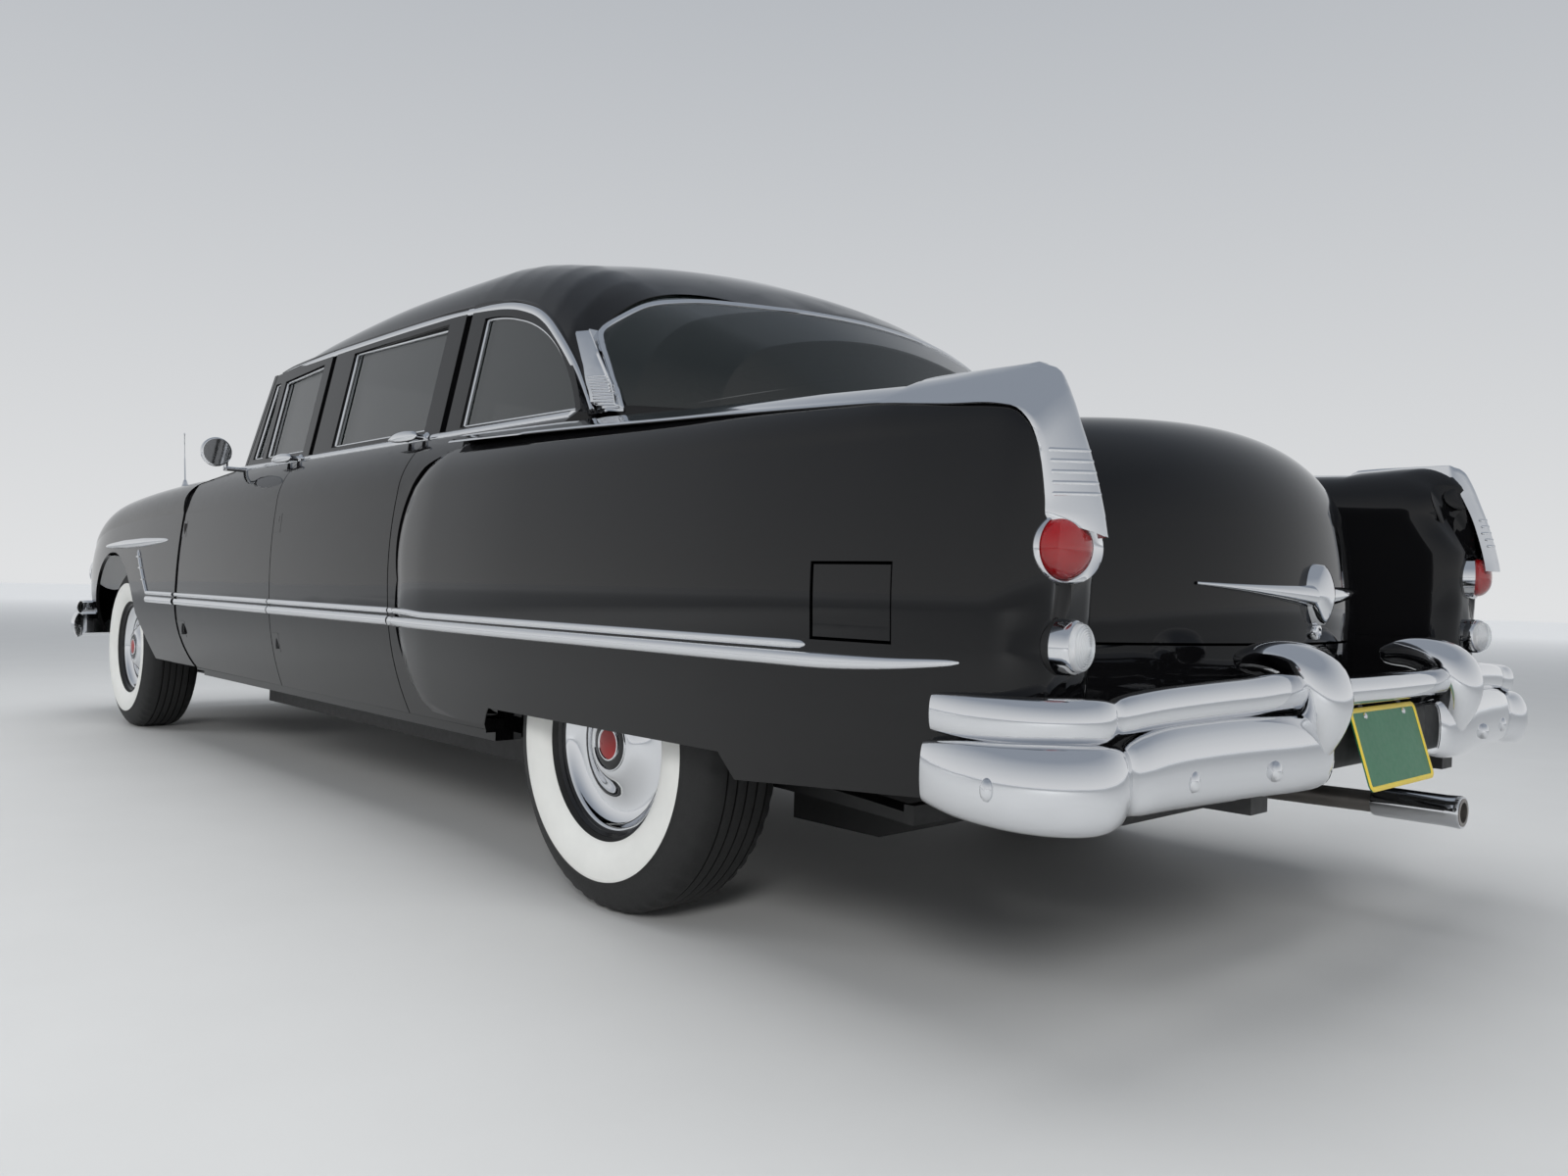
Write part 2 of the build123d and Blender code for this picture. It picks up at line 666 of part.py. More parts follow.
def make_grille():
    """Chrome surround with level bars and one heavy bar."""
    def ring(grow):
        half = GRILLE_HALF + grow
        return prism("x", FASCIA_X, FASCIA_X + 24, (half - 90, 520 - grow),
                     (half, 640, half - 90, 745 + grow),
                     (0, 765 + grow, -half + 90, 745 + grow), (-half, 640, -half + 90, 520 - grow))
    bars = ring(18) - ring(-4)
    for level, tall in ((560, 8), (592, 8), (636, 36), (680, 8), (716, 8)):
        bar = prism("y", -GRILLE_HALF, GRILLE_HALF, (FASCIA_X + 2, level - tall / 2),
                    (FASCIA_X + 2 + tall * 0.55, level, FASCIA_X + 2, level + tall / 2))
        bars = bars + (bar & ring(2))
    return bars


def domed_lens(radius, rim, high, facing):
    """Round lens with a straight rim and a domed face, its back at the origin. Facing is 1 or -1 along X."""
    ball = (radius ** 2 + high ** 2) / (2 * high)
    middle = rim + high - ball
    half = math.asin(radius / ball) / 2
    profile = outline("z", 0, (0, 0), (0, radius), (rim * facing, radius),
                      ((middle + ball * math.cos(half)) * facing, ball * math.sin(half),
                       (rim + high) * facing, 0))
    return revolve(Part() + Face(profile), Axis.X, 360)


def make_headlamps():
    """Chrome ring and glass lens on each side."""
    z = HEADLAMP_Z - 60
    ring = rod("x", HEADLAMP_RADIUS, (FASCIA_X, HEADLAMP_Y, z), 40) - rod("x", HEADLAMP_RADIUS - 14,
                                                                          (FASCIA_X - 10, HEADLAMP_Y, z),
                                                                          80)
    return both(ring)


def make_headlamp_glass():
    z = HEADLAMP_Z - 60
    return both(Pos(FASCIA_X, HEADLAMP_Y, z) * domed_lens(HEADLAMP_RADIUS - 14.3, 12, 24, 1))


# Bumpers

def bumper_bar(rows, low, high, bulge):
    """Left half of a bar with a bulged face, through rows of x, y, the way it faces in degrees and depth."""
    along = [0.0]
    for here, there in zip(rows, rows[1:]):
        along.append(along[-1] + math.hypot(there[0] - here[0], there[1] - here[1]))
    wires = []
    for _, x, y, facing, depth in even([(place, *row) for place, row in zip(along, rows)], 13):
        ahead, aside = math.cos(math.radians(facing)), math.sin(math.radians(facing))

        def put(out, z):
            return Vector(x + out * ahead, y + out * aside, z)

        swell = min(bulge, depth * 0.6)
        face_low, face_high = put(-swell, low), put(-swell, high)
        back_low, back_high = put(-depth, low + 10), put(-depth, high - 10)
        wires.append(Wire([
            Edge.make_three_point_arc(face_low, put(0, (low + high) / 2), face_high),
            Edge.make_line(face_high, back_high), Edge.make_line(back_high, back_low),
            Edge.make_line(back_low, face_low)]))
    return skin(wires)


def guard(points, middle_y):
    """Upright bumper guard whose sides draw in at their edges."""
    mid_u = sum(p[-2] for p in points) / len(points)
    mid_v = sum(p[-1] for p in points) / len(points)
    half = GUARD_WIDTH / 2
    wires = []
    for y, size in ((-half, 0.8), (-half + 16, 1.0), (half - 16, 1.0), (half, 0.8)):
        moved = [tuple((mid_u, mid_v)[i % 2] + (v - (mid_u, mid_v)[i % 2]) * size for i, v in enumerate(p))
                 for p in points]
        wires.append(outline("y", middle_y + y, moved[0], *moved[1:]))
    return skin(wires, ruled=True)


def make_rear_bumper():
    back = BUMPER_REAR_X
    lower = bumper_bar([
        (back, 0, 180, 62), (back + 6, 420, 178, 62), (back + 34, 760, 168, 55), (back + 85, 912, 140, 38),
        (back + 160, 972, 112, 22), (back + 300, 990, 95, 18)], 375, 488, 34)
    upper = bumper_bar([
        (back + 30, 0, 180, 50), (back + 36, 420, 178, 50), (back + 54, 770, 168, 36),
        (back + 90, 910, 140, 22),
        (back + 168, 966, 112, 18), (back + 285, 984, 95, 16)], 490, 545, 20)
    tip = GUARD_REAR_X
    horn = guard([(tip + 110, 489), (tip + 120, 600), (tip + 60, 640, tip + 8, 600),
                  (tip - 2, 560, tip + 20, 500),
                  (tip + 45, 440, tip + 60, 400), (tip + 100, 400)], GUARD_Y)
    bracket = block(back + 57, rx(1080), 402, 460, TAIL_RAIL_Z, TAIL_RAIL_Z + 40)
    bracket = bracket + block(back + 57, back + 82, 402, 460, TAIL_RAIL_Z, 480)
    return both(lower + upper + horn + bracket)


def make_front_bumper():
    front = BUMPER_FRONT_X - 25
    lower = bumper_bar([
        (front, 0, 0, 62), (front - 8, 420, 4, 62), (front - 40, 760, 14, 52), (front - 100, 900, 42, 42),
        (front - 180, 955, 68, 34), (front - 340, 978, 86, 28)], 375, 488, 34)
    upper = bumper_bar([
        (front - 30, 0, 0, 50), (front - 38, 420, 4, 50), (front - 68, 750, 14, 40),
        (front - 125, 885, 42, 30),
        (front - 200, 940, 68, 22), (front - 330, 964, 86, 18)], 490, 545, 20)
    tip = BUMPER_FRONT_X
    horn = guard([(tip - 110, 489), (tip - 110, 600), (tip - 60, 630, tip - 10, 590),
                  (tip, 550, tip - 16, 500),
                  (tip - 40, 440, tip - 60, 400), (tip - 100, 400)], GUARD_Y)
    bracket = block(fx(610), front - 57, 312, 378, RAIL_TOP_Z, RAIL_TOP_Z + 36)
    bracket = bracket + block(front - 82, front - 57, 312, 378, RAIL_TOP_Z, 480)
    return both(lower + upper + horn + bracket)


# Rear fenders, deck and boot lid

# x, widest y, top z
REAR_FENDER = [
    (rx(-890), 948, 1050),
    (rx(-640), 974, 1050),
    (rx(-200), 985, 1046),
    (rx(420), 985, 1030),
    (rx(830), 974, 1024),
    (rx(1020), 956, 1030),
    (rx(1110), 938, 1030),
    (rx(1165), 915, 1026),
]
FIN_Y = 849.0


def rear_fender_wire(row, t):
    x, wide, top = row
    low = 300 - (t * 3)
    return outline("x", x, (POD_INNER_Y + t, low), (wide - 50 - t, low),
                   (wide - 12 - t, 480, wide - t, 640), (wide - 4 - t, 800, wide - 26 - t, 930),
                   (wide - 60 - t, 1000 - t * 0.4, FIN_Y + 8, top - t), (FIN_Y - 8, top - t),
                   (POD_INNER_Y + 26, 990 - t, POD_INNER_Y + t, 900))


def lamp_seats():
    """Round pockets in the fender's tail for its two lamps."""
    return rod("x", TAIL_LAMP_RADIUS + 8, (rx(1180), TAIL_LAMP_Y, TAIL_LAMP_Z), 115) \
        + rod("x", REVERSE_LAMP_RADIUS, (rx(1180), REVERSE_LAMP_Y, REVERSE_LAMP_Z), 55)


def fender_side_edge():
    """Rear fender seen from the side: round front edge, wheel opening, raised fin and sloping tail."""
    return [
        (rx(-550), 362), (rx(-860), 520, rx(-869), 690),
        (rx(-835), 930, rx(-488), 1020), (rx(-470), 1062), (rx(400), 1038), (rx(838), 1016),
        (rx(856), 1029), (rx(1065), 1029), (rx(1100), 985, rx(1130), 900),
        (rx(1146), 800, rx(1140), 640), (rx(1125), 500, rx(1070), 396), (rx(700), 372),
        (rx(515), 358), (rx(480), 404), (rx(-345), 404), (rx(-380), 362),
    ]


def rear_fender_body(t):
    """Fender as a full solid, inside its outer skin by t."""
    return skin([rear_fender_wire(row, t) for row in even(REAR_FENDER, 12)])


def make_rear_fender():
    outer = rear_fender_body(0) & prism("y", 600, 1100, *fender_side_edge())
    tail_cut = prism("y", 600, 1100, (rx(-1000), 0), (rx(-1000), 1100), (rx(1051), 1100),
                     (rx(1086), 985, rx(1116), 900),
                     (rx(1132), 800, rx(1126), 640), (rx(1111), 500, rx(1056), 396), (rx(1056), 0))
    inner = rear_fender_body(SHEET) & tail_cut
    shell = outer - inner
    return shell - block(rx(-900), rx(500), 700, 905, 200, 1012) - lamp_seats()


def fuel_opening(gap=0.0):
    return prism("y", 900, 1100, (rx(724) - gap, 614 + gap), (rx(892) + gap, 614 + gap),
                 (rx(892) + gap, 739 - gap), (rx(724) - gap, 739 - gap))


def make_fuel_door():
    """Flush door in the left rear fender, hinged at its front edge."""
    panel = (rear_fender_body(0) & fuel_opening(SHUT_GAP)) - rear_fender_body(8)
    return panel - rod("z", 1.8, (FUEL_PIN_X, FUEL_PIN_Y, 600), 200)


def fuel_pin():
    """Pin across the opening's front edge, held by the fender above and below it."""
    return rod("z", 1.5, (FUEL_PIN_X, FUEL_PIN_Y, 608), 137)


# Middle profile of the tail from the rear window down: line and arc points in x, z
def tail_profile(t):
    return [
        (rx(40), 1092 - t),
        (rx(480), 1088 - t, rx(800), 1052 - t),
        (rx(1010) + t * 0.6, 985 - t, rx(1090) + t, 850),
        (rx(1108) + t, 740, rx(1108) + t, 640),
        (rx(1100) + t, 430),
    ]


def tail_shell(t0, t1):
    """Deck and tail, one profile moved forward and down as it goes out to the sides."""
    wires = []
    edge = POD_INNER_Y - 3
    for y in (-edge, -500, -250, 0, 250, 500, edge):
        ahead, drop = y * y / 2000, y * y / 8000
        path = tail_profile(t0) + walk_back(tail_profile(t1))
        moved = [tuple(v + (ahead if i % 2 == 0 else -drop) for i, v in enumerate(p)) for p in path]
        wires.append(outline("y", y, moved[0], *moved[1:]))
    return skin(wires)


def lid_space(grow):
    """Plan of the boot lid, above its lower edge."""
    half = LID_HALF + grow
    plan = prism("z", LID_LOW_Z - grow, 1200, (LID_FRONT_X + grow, half - 60),
                 (LID_FRONT_X + grow, -half + 60),
                 (LID_FRONT_X - 60, -half), (rx(1300), -half), (rx(1300), half), (LID_FRONT_X - 60, half))
    return plan


def make_deck():
    """Fixed deck round the boot lid, tail panel, and parcel shelf behind the rear seat."""
    shell = tail_shell(0, SHEET) - lid_space(SHUT_GAP) - block(rx(1300), rx(0), -800, 800, 200, 434)
    foot = [(x - 2, half + 6) for x, half, _, _ in ROOF[6:]]
    window_foot = prism("z", 900, 1200, (rx(-400), 800), *foot, *[(x, -y) for x, y in reversed(foot)],
                        (rx(-400), -800))
    shelf = prism("z", 1056, 1066, (rx(-362), 745), (rx(-80), 745), (rx(88), 0, rx(-80), -745),
                  (rx(-362), -745))
    hanger = hinge_hanger(LID_HINGE_X, LID_ARM_Y, LID_HINGE_Z, 1060)
    return (shell - window_foot) + shelf + both(hanger)


def lid_arm():
    """Arm that dips under the deck ahead of the boot lid, so that the lid can swing up."""
    return swan_neck(LID_HINGE_X, LID_ARM_Y, LID_HINGE_Z, [
        (-6, -8), (-40, -76), (-88, -148), (-124, -178), (-176, -166), (-214, -94), (-226, 4), (-300, 4),
        (-300, 20),
        (-212, 28), (-202, -88), (-166, -148), (-128, -158), (-98, -138), (-54, -70), (-14, 4), (0, 8),
        (6, 0)])


def make_boot_lid():
    return (tail_shell(0, 20.0) & lid_space(0)) + both(lid_arm())


def make_fin_caps():
    """Chrome cap along the top of each fin and down its tail."""
    edge = prism("y", 700, 1100, (rx(400), 900), (rx(400), 1044), (rx(838), 1024), (rx(852), 1034),
                 (rx(1067), 1034),
                 (rx(1106), 985, rx(1136), 900), (rx(1150), 826), (rx(1150), 800))
    strip = prism("y", 700, 1100, (rx(560), 1010), (rx(760), 1006), (rx(1000), 985), (rx(1085), 965),
                  (rx(1118), 830), (rx(1200), 830), (rx(1200), 1100), (rx(560), 1100))
    fender = rear_fender_body(0) & prism("y", 600, 1100, *fender_side_edge())
    return both((rear_fender_body(-4) & edge & strip) - fender)


def make_tail_lamp_housings():
    body = rod("x", TAIL_LAMP_RADIUS + 8, (rx(1137), TAIL_LAMP_Y, TAIL_LAMP_Z), 72)
    return both(body - rod("x", TAIL_LAMP_RADIUS, (rx(1150), TAIL_LAMP_Y, TAIL_LAMP_Z), 30))


def make_tail_lamp_lenses():
    return both(Pos(rx(1120), TAIL_LAMP_Y, TAIL_LAMP_Z) * domed_lens(TAIL_LAMP_RADIUS - 0.3, 20, 34, -1))


def make_reversing_lamps():
    return both(rod("x", REVERSE_LAMP_RADIUS, (rx(1165), REVERSE_LAMP_Y, REVERSE_LAMP_Z), 40))


# Chassis

def make_frame():
    """Box rails joined by cross members, narrow in front for the steered wheels."""
    low = RAIL_TOP_Z - RAIL_HEIGHT
    rails = prism("z", low, RAIL_TOP_Z, (fx(720), 380), (fx(-500), 380), (fx(-900), 560), (rx(-600), 560),
                  (rx(-300), 470), (rx(260), 470), (rx(260), 400), (rx(-320), 400), (rx(-620), 490),
                  (fx(-920), 490),
                  (fx(-520), 310), (fx(720), 310))
    tail_top = BOOT_FLOOR_Z - FLOOR
    tail = prism("y", 400, 470, (rx(260), low), (rx(260), RAIL_TOP_Z), (rx(660), RAIL_TOP_Z),
                 (rx(720), tail_top), (rx(1080), tail_top), (rx(1080), TAIL_RAIL_Z),
                 (rx(860), TAIL_RAIL_Z), (rx(640), RAIL_TOP_Z - 50), (rx(420), low))
    rails = rails - block(rx(160), rx(-160), 300, 600, 0, 400)
    kick = prism("y", 400, 470, (rx(160), low), (rx(160), 300), (rx(130), 470), (rx(-130), 470),
                 (rx(-160), 300),
                 (rx(-160), low), (rx(-260), low), (rx(-260), 300), (rx(-190), 540), (rx(190), 540),
                 (rx(260), 300),
                 (rx(260), low))
    frame = both(rails + kick + tail)
    members = [(fx(640), 312), (fx(-420), 330), (fx(-1500), 492), (rx(-800), 492), (rx(-420), 432)]
    for x, half in members:
        frame = frame + block(x - 40, x + 40, -half, half, RAIL_TOP_Z - 64, RAIL_TOP_Z - 10)
    return frame + block(rx(1040), rx(960), -402, 402, TAIL_RAIL_Z + 6, TAIL_RAIL_Z + 60)


def make_floor():
    """Floor pan, rear wheel tubs and boot floor."""
    pan = block(rx(-548), HOOD_REAR_X - 46, -770, 770, FLOOR_Z - FLOOR, FLOOR_Z)
    pan = pan - block(rx(-548), HOOD_REAR_X - 46, -TUNNEL_HALF, TUNNEL_HALF, FLOOR_Z - FLOOR, FLOOR_Z)
    tunnel = block(rx(-548), HOOD_REAR_X - 46, -TUNNEL_HALF - FLOOR, TUNNEL_HALF + FLOOR, FLOOR_Z - FLOOR,
                   TUNNEL_Z + FLOOR)
    tunnel = tunnel - block(rx(-548), HOOD_REAR_X - 46, -TUNNEL_HALF, TUNNEL_HALF, FLOOR_Z - FLOOR,
                            TUNNEL_Z)
    step = block(rx(-560), rx(-548), -634, 634, FLOOR_Z, 560)
    step = step - block(rx(-560), rx(-548), -TUNNEL_HALF, TUNNEL_HALF, FLOOR_Z, TUNNEL_Z)
    shelf = block(rx(300), rx(-560), -634, 634, 560, 572)
    boot = prism("z", BOOT_FLOOR_Z - FLOOR, BOOT_FLOOR_Z, (rx(300), -740), (rx(300), 740), (rx(795), 740),
                 (rx(1080), 0, rx(795), -740))
    boot = boot - block(rx(560), rx(-560), -1000, -640, 400, 440) \
        - block(rx(560), rx(-560), 640, 1000, 400, 440)
    drop = block(rx(312), rx(300), -634, 634, BOOT_FLOOR_Z, 572)
    tub = rod("y", TYRE_RADIUS + 72, (REAR_AXLE_X, 628, TYRE_RADIUS), 117) \
        - rod("y", TYRE_RADIUS + 60, (REAR_AXLE_X, 640, TYRE_RADIUS), 200)
    tub = tub & block(rx(600), rx(-600), 500, 745, 400, 900)
    side = block(rx(-428), rx(-560), 634, 745, 560, 572)
    return pan + tunnel + step + shelf + boot + drop + both(tub + side)


def make_front_structure():
    """Inner aprons, radiator support and radiator."""
    apron = prism("y", 430, 436, (fx(-1140), 490), (fx(600), 490), (fx(600), 770), (fx(300), 850),
                  (fx(-1140), 900))
    support = block(fx(594), fx(606), -600, 600, 300, 780) - block(fx(580), fx(620), -300, 300, 380, 740)
    radiator = block(fx(520), fx(594), -310, 310, 330, 760)
    tray = block(fx(606), FASCIA_X - SHEET, -590, 590, 434, 440)
    return both(apron) + support + radiator + tray


def make_drivetrain():
    """Engine block, gearbox and propeller shaft as plain forms."""
    engine = block(fx(-560), fx(420), -200, 200, RAIL_TOP_Z + 30, 800)
    head = block(fx(-500), fx(380), -90, 90, 800, 900)
    box = block(fx(-1100), fx(-560), -130, 130, 235, 480)
    shaft = rod("x", 38, (rx(-200), 0, SHAFT_Z), fx(-1100) - rx(-200))
    return engine + head + box + shaft


def make_front_suspension():
    """Lower and upper arms with the cross member that carries them."""
    member = block(fx(-90), fx(90), -400, 400, RAIL_TOP_Z, RAIL_TOP_Z + 30)
    lower = prism("z", 238, 262, (fx(-150), 381), (fx(150), 381), (fx(30), KINGPIN_Y - 30),
                  (fx(-30), KINGPIN_Y - 30))
    upper = prism("z", 468, 486, (fx(-90), 400), (fx(90), 400), (fx(25), KINGPIN_Y - 30),
                  (fx(-25), KINGPIN_Y - 30))
    mount = block(fx(-100), fx(100), 310, 400, 330, 486)
    stub = block(fx(-60), fx(60), 381, 400, 238, RAIL_TOP_Z)
    pads = rod("z", 24, (fx(0), KINGPIN_Y, 238), 24) + rod("z", 24, (fx(0), KINGPIN_Y, 468), 18)
    web = block(fx(-24), fx(24), KINGPIN_Y - 40, KINGPIN_Y, 240, 260) + block(fx(-24), fx(24),
                                                                              KINGPIN_Y - 40, KINGPIN_Y,
                                                                              469, 485)
    return member + both(lower + upper + mount + stub + pads + web)


def make_knuckle():
    """Left steering knuckle between the ball joints, with its stub axle."""
    post = rod("z", 20, (fx(0), KINGPIN_Y, 262.3), 205.4)
    hub = rod("y", 46, (fx(0), KINGPIN_Y, TYRE_RADIUS), 30)
    stub = rod("y", 22, (fx(0), KINGPIN_Y + 30, TYRE_RADIUS), FRONT_WHEEL_Y - KINGPIN_Y - 30)
    arm = block(fx(-150), fx(0), KINGPIN_Y - 12, KINGPIN_Y + 12, 300, 320)
    return post + hub + stub + arm


def wheel_at(x, y):
    return Location((x, y, TYRE_RADIUS))


def revolve_y(points):
    """Ring about the wheel's own axle from points of radius, y, with arcs as in an outline."""
    face = Face(outline("x", 0, *[tuple(v for pair in zip(p[1::2],
                                                          p[0::2]) for v in pair) for p in points]))
    return revolve(Part() + face, Axis.Y, 360)


def make_tyre():
    """Tyre with bulged side walls and a nearly flat tread."""
    half = TYRE_WIDTH / 2
    r0, r1 = RIM_RADIUS, TYRE_RADIUS
    return revolve_y([(r0, -78), (r0 + 84, -half - 6, r1 - 18, -half + 16),
                      (r1 - 4, -half + 30, r1, -half + 44),
                      (r1, half - 44), (r1 - 4, half - 30, r1 - 18, half - 16),
                      (r0 + 84, half + 6, r0, 78)])


def make_wheel(bore):
    """Steel rim with its chrome cover on the outer side, dished with a raised centre."""
    r = RIM_RADIUS
    rim = revolve_y([(r, -78), (r, 76), (r - 14, 80), (r - 26, 58), (r - 20, 40), (r - 20, -62),
                     (r - 14, -78)])
    disc = revolve_y([(bore, 0), (r - 20, 20), (r - 20, 28), (bore, 12)])
    cover = revolve_y([(0, 78), (70, 84, 96, 66), (130, 52, r - 16, 72), (r - 10, 76), (r - 14, 80),
                       (r - 24, 66),
                       (130, 46, 96, 60), (70, 78, 0, 72)])
    return rim + disc + cover


def make_rear_axle():
    tube = rod("y", AXLE_TUBE_RADIUS, (REAR_AXLE_X, -REAR_WHEEL_Y + 90, TYRE_RADIUS),
               2 * REAR_WHEEL_Y - 180)
    bowl = Location((REAR_AXLE_X, 0, TYRE_RADIUS)) * Sphere(140)
    stubs = rod("y", 22, (REAR_AXLE_X, -REAR_WHEEL_Y, TYRE_RADIUS), 2 * REAR_WHEEL_Y)
    return tube + bowl + stubs


def make_rear_springs():
    """Leaf packs under the axle, hung from the frame."""
    low = TYRE_RADIUS - AXLE_TUBE_RADIUS - 36
    leaf = prism("y", 576, 632, (rx(-650), 262), (rx(0), low + 6, rx(650), 262), (rx(650), 282),
                 (rx(0), low + 36, rx(-650), 282))
    front = block(rx(-636), rx(-660), 560, 640, 240, RAIL_TOP_Z)
    back = block(rx(660), rx(636), 470, 640, 264, RAIL_TOP_Z)
    return both(leaf + front + back)


def make_fuel_tank():
    tank = block(rx(930), rx(480), -380, 380, BOOT_FLOOR_Z - FLOOR - 150, BOOT_FLOOR_Z - FLOOR)
    return fillet(tank.edges(), 24)


def make_exhaust():
    """Pipe and silencer along the right side, with a bright tip behind the bumper."""
    route = [(fx(-300), -255, 205), (fx(-700), -300, 205), (rx(-1000), -330, 205), (rx(-300), -345, 205),
             (rx(-160), -350, 222), (rx(160), -524, 226), (rx(420), -524, 230), (rx(1221), -500, 250)]
    path = FilletPolyline(*route, radius=90)
    pipe = sweep(path.location_at(0) * Circle(24), path)
    silencer = rod("x", 64, (rx(-900), -332, 205), 560)
    tip = rod("x", 30, (rx(1223), -500, 250), 160)
    return pipe + silencer + tip - rod("x", 22, (rx(1224), -500, 250), 60)


# Cabin

def seat(x, half, depth, back_height, base_z):
    """Bench with a rounded cushion and a leaning back, as one soft form."""
    cushion = block(x, x + depth, -half, half, base_z, base_z + 190)
    cushion = fillet(cushion.edges(), 40)
    back = prism("y", -half, half, (x + 20, base_z + 120), (x - 110, base_z + back_height),
                 (x - 190, base_z + back_height), (x - 110, base_z), (x + 20, base_z))
    back = fillet(back.edges(), 30)
    return cushion + back


def make_front_seat():
    return seat(fx(-1890), 700, 470, 560, FLOOR_Z + 170)


def make_rear_seat():
    return seat(rx(-560), 560, 500, 520, 572.3)


def make_seat_bases():
    base = block(fx(-1930), fx(-1480), -640, 640, FLOOR_Z, FLOOR_Z + 169.7)
    return base - block(fx(-1930), fx(-1480), -TUNNEL_HALF - 13, TUNNEL_HALF + 13, FLOOR_Z, TUNNEL_Z + 13)


def make_instrument_panel():
    panel = prism("y", -799.7, 799.7, (fx(-1240), 1040), (fx(-1380), 1052), (fx(-1440), 1030),
                  (fx(-1430), 850),
                  (fx(-1380), 840), (fx(-1350), 900), (fx(-1240), 1000))
    return panel - rod("x", 120, (fx(-1460), 400, 945), 40)


def column_frame():
    """Place whose Z runs up the steering column to the wheel."""
    return Location(COLUMN_TOP, (0, -(90 - COLUMN_LEAN), 0))


def make_steering_column():
    column = column_frame() * Pos(0, 0, -640) * Cylinder(24, 610,
                                                         align=(Align.CENTER, Align.CENTER, Align.MIN))
    hanger = prism("y", COLUMN_TOP[1] - 12, COLUMN_TOP[1] + 12, (fx(-1408), 735), (fx(-1386), 722),
                   (fx(-1386), 840.9), (fx(-1408), 845.3))
    return column + hanger


def make_steering_wheel():
    """Large thin rim, three spokes and a horn button."""
    rim = Torus(215, 11)
    hub = Pos(0, 0, -29.7) * Cylinder(38, 45, align=(Align.CENTER, Align.CENTER, Align.MIN))
    wheel = rim + hub
    for angle in (0, 120, 240):
        wheel = wheel + Rot(0, 0, angle) * Pos(20, -9, -6) * Box(200, 18, 9,
                                                                 align=(Align.MIN, Align.MIN, Align.MIN))
    return column_frame() * wheel


def make_mirror():
    """Round door mirror on a short arm."""
    head = rod("x", 51, (MIRROR_X - 12, 958, 1122), 22)
    head = fillet(head.edges(), 6)
    arm = rod("y", 8, (MIRROR_X, BELT_Y - 22, 1066), 93) - side_band(DOOR_WALL)
    return head + arm + rod("z", 8, (MIRROR_X, 925, 1060), 62)


# Writing the nodes

def make_all():
    front_fender = make_front_fender()
    rear_fender = make_rear_fender()
    side = make_side()
    front = door(front_door_edge, (door_window(0), vent_window(0)), FRONT_HINGE_X)
    rear = door(rear_door_edge, (rear_door_window(0),), REAR_HINGE_X)
    front_glass = door_glass((door_window(-0.5), vent_window(-0.5)))
    rear_glass = door_glass((rear_door_window(-0.5),))
    knuckle = make_knuckle()
    tyre = make_tyre()
    wheel = make_wheel(22.3)
    nodes = {
        "frame": make_frame(), "floor": make_floor(), "cowl": make_cowl(),
        "front_structure": make_front_structure(),
        "front_fender_left": front_fender, "front_fender_right": right(front_fender),
        "body_side_left": side, "body_side_right": right(side), "roof": make_roof(),
        "rear_fender_left": rear_fender - fuel_opening() + fuel_pin(),
        "rear_fender_right": right(rear_fender),
        "rear_deck": make_deck(),
        "nose_panel": make_nose(), "grille": make_grille(), "front_bumper": make_front_bumper(),
        "rear_bumper": make_rear_bumper(), "windscreen": make_windscreen(), "rear_glass": make_rear_glass(),
        "headlamp_rings": make_headlamps(), "headlamp_glass": make_headlamp_glass(),
        "tail_lamp_housings": make_tail_lamp_housings(), "tail_lamp_lenses": make_tail_lamp_lenses(),
        "reversing_lamps": make_reversing_lamps(), "fin_caps": make_fin_caps(),
        "front_seat": make_front_seat(), "rear_seat": make_rear_seat(), "seat_base": make_seat_bases(),
        "instrument_panel": make_instrument_panel(), "steering_column": make_steering_column(),
        "drivetrain": make_drivetrain(), "front_suspension": make_front_suspension(),
        "rear_axle": make_rear_axle(),
        "rear_springs": make_rear_springs(), "fuel_tank": make_fuel_tank(), "exhaust": make_exhaust(),
        "hood": make_hood(), "boot_lid": make_boot_lid(), "fuel_door": make_fuel_door(),
        "door_front_left": front, "door_front_right": right(front), "door_rear_left": rear,
        "door_rear_right": right(rear), "glass_front_left": front_glass,
        "glass_front_right": right(front_glass),
        "glass_rear_left": rear_glass, "glass_rear_right": right(rear_glass), "mirror": make_mirror(),
        "steering_wheel": make_steering_wheel(), "knuckle_left": knuckle, "knuckle_right": right(knuckle),
    }
    for end, x, y in (("front", FRONT_AXLE_X, FRONT_WHEEL_Y), ("rear", REAR_AXLE_X, REAR_WHEEL_Y)):
        left_tyre, left_wheel = wheel_at(x, y) * tyre, wheel_at(x, y) * wheel
        nodes[f"tyre_{end}_left"], nodes[f"tyre_{end}_right"] = left_tyre, right(left_tyre)
        nodes[f"wheel_{end}_left"], nodes[f"wheel_{end}_right"] = left_wheel, right(left_wheel)
    return nodes


def main():
    os.makedirs("parts", exist_ok=True)
    for name, shape in make_all().items():
        export_step(shape, f"parts/{name}.step")
        print(name, round(shape.volume / 1e6, 2), "litres")


main()
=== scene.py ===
# %% [markdown]
# # A long black limousine of the early fifties, dressed in Blender
# The car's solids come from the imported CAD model. They carry the joints and the sizes, so they are
# loaded first and never moved. Everything made here is placed in the same frame: +X is forward, +Y is
# the driver's left, +Z is up, and the ground is z = 0. Sizes below are in millimetres, as in the CAD,
# and one helper turns them into metres.

# %% Load the frame
import json
import math
from collections import Counter

import bmesh
import bpy
from mathutils import Matrix, Vector
from mathutils.bvhtree import BVHTree


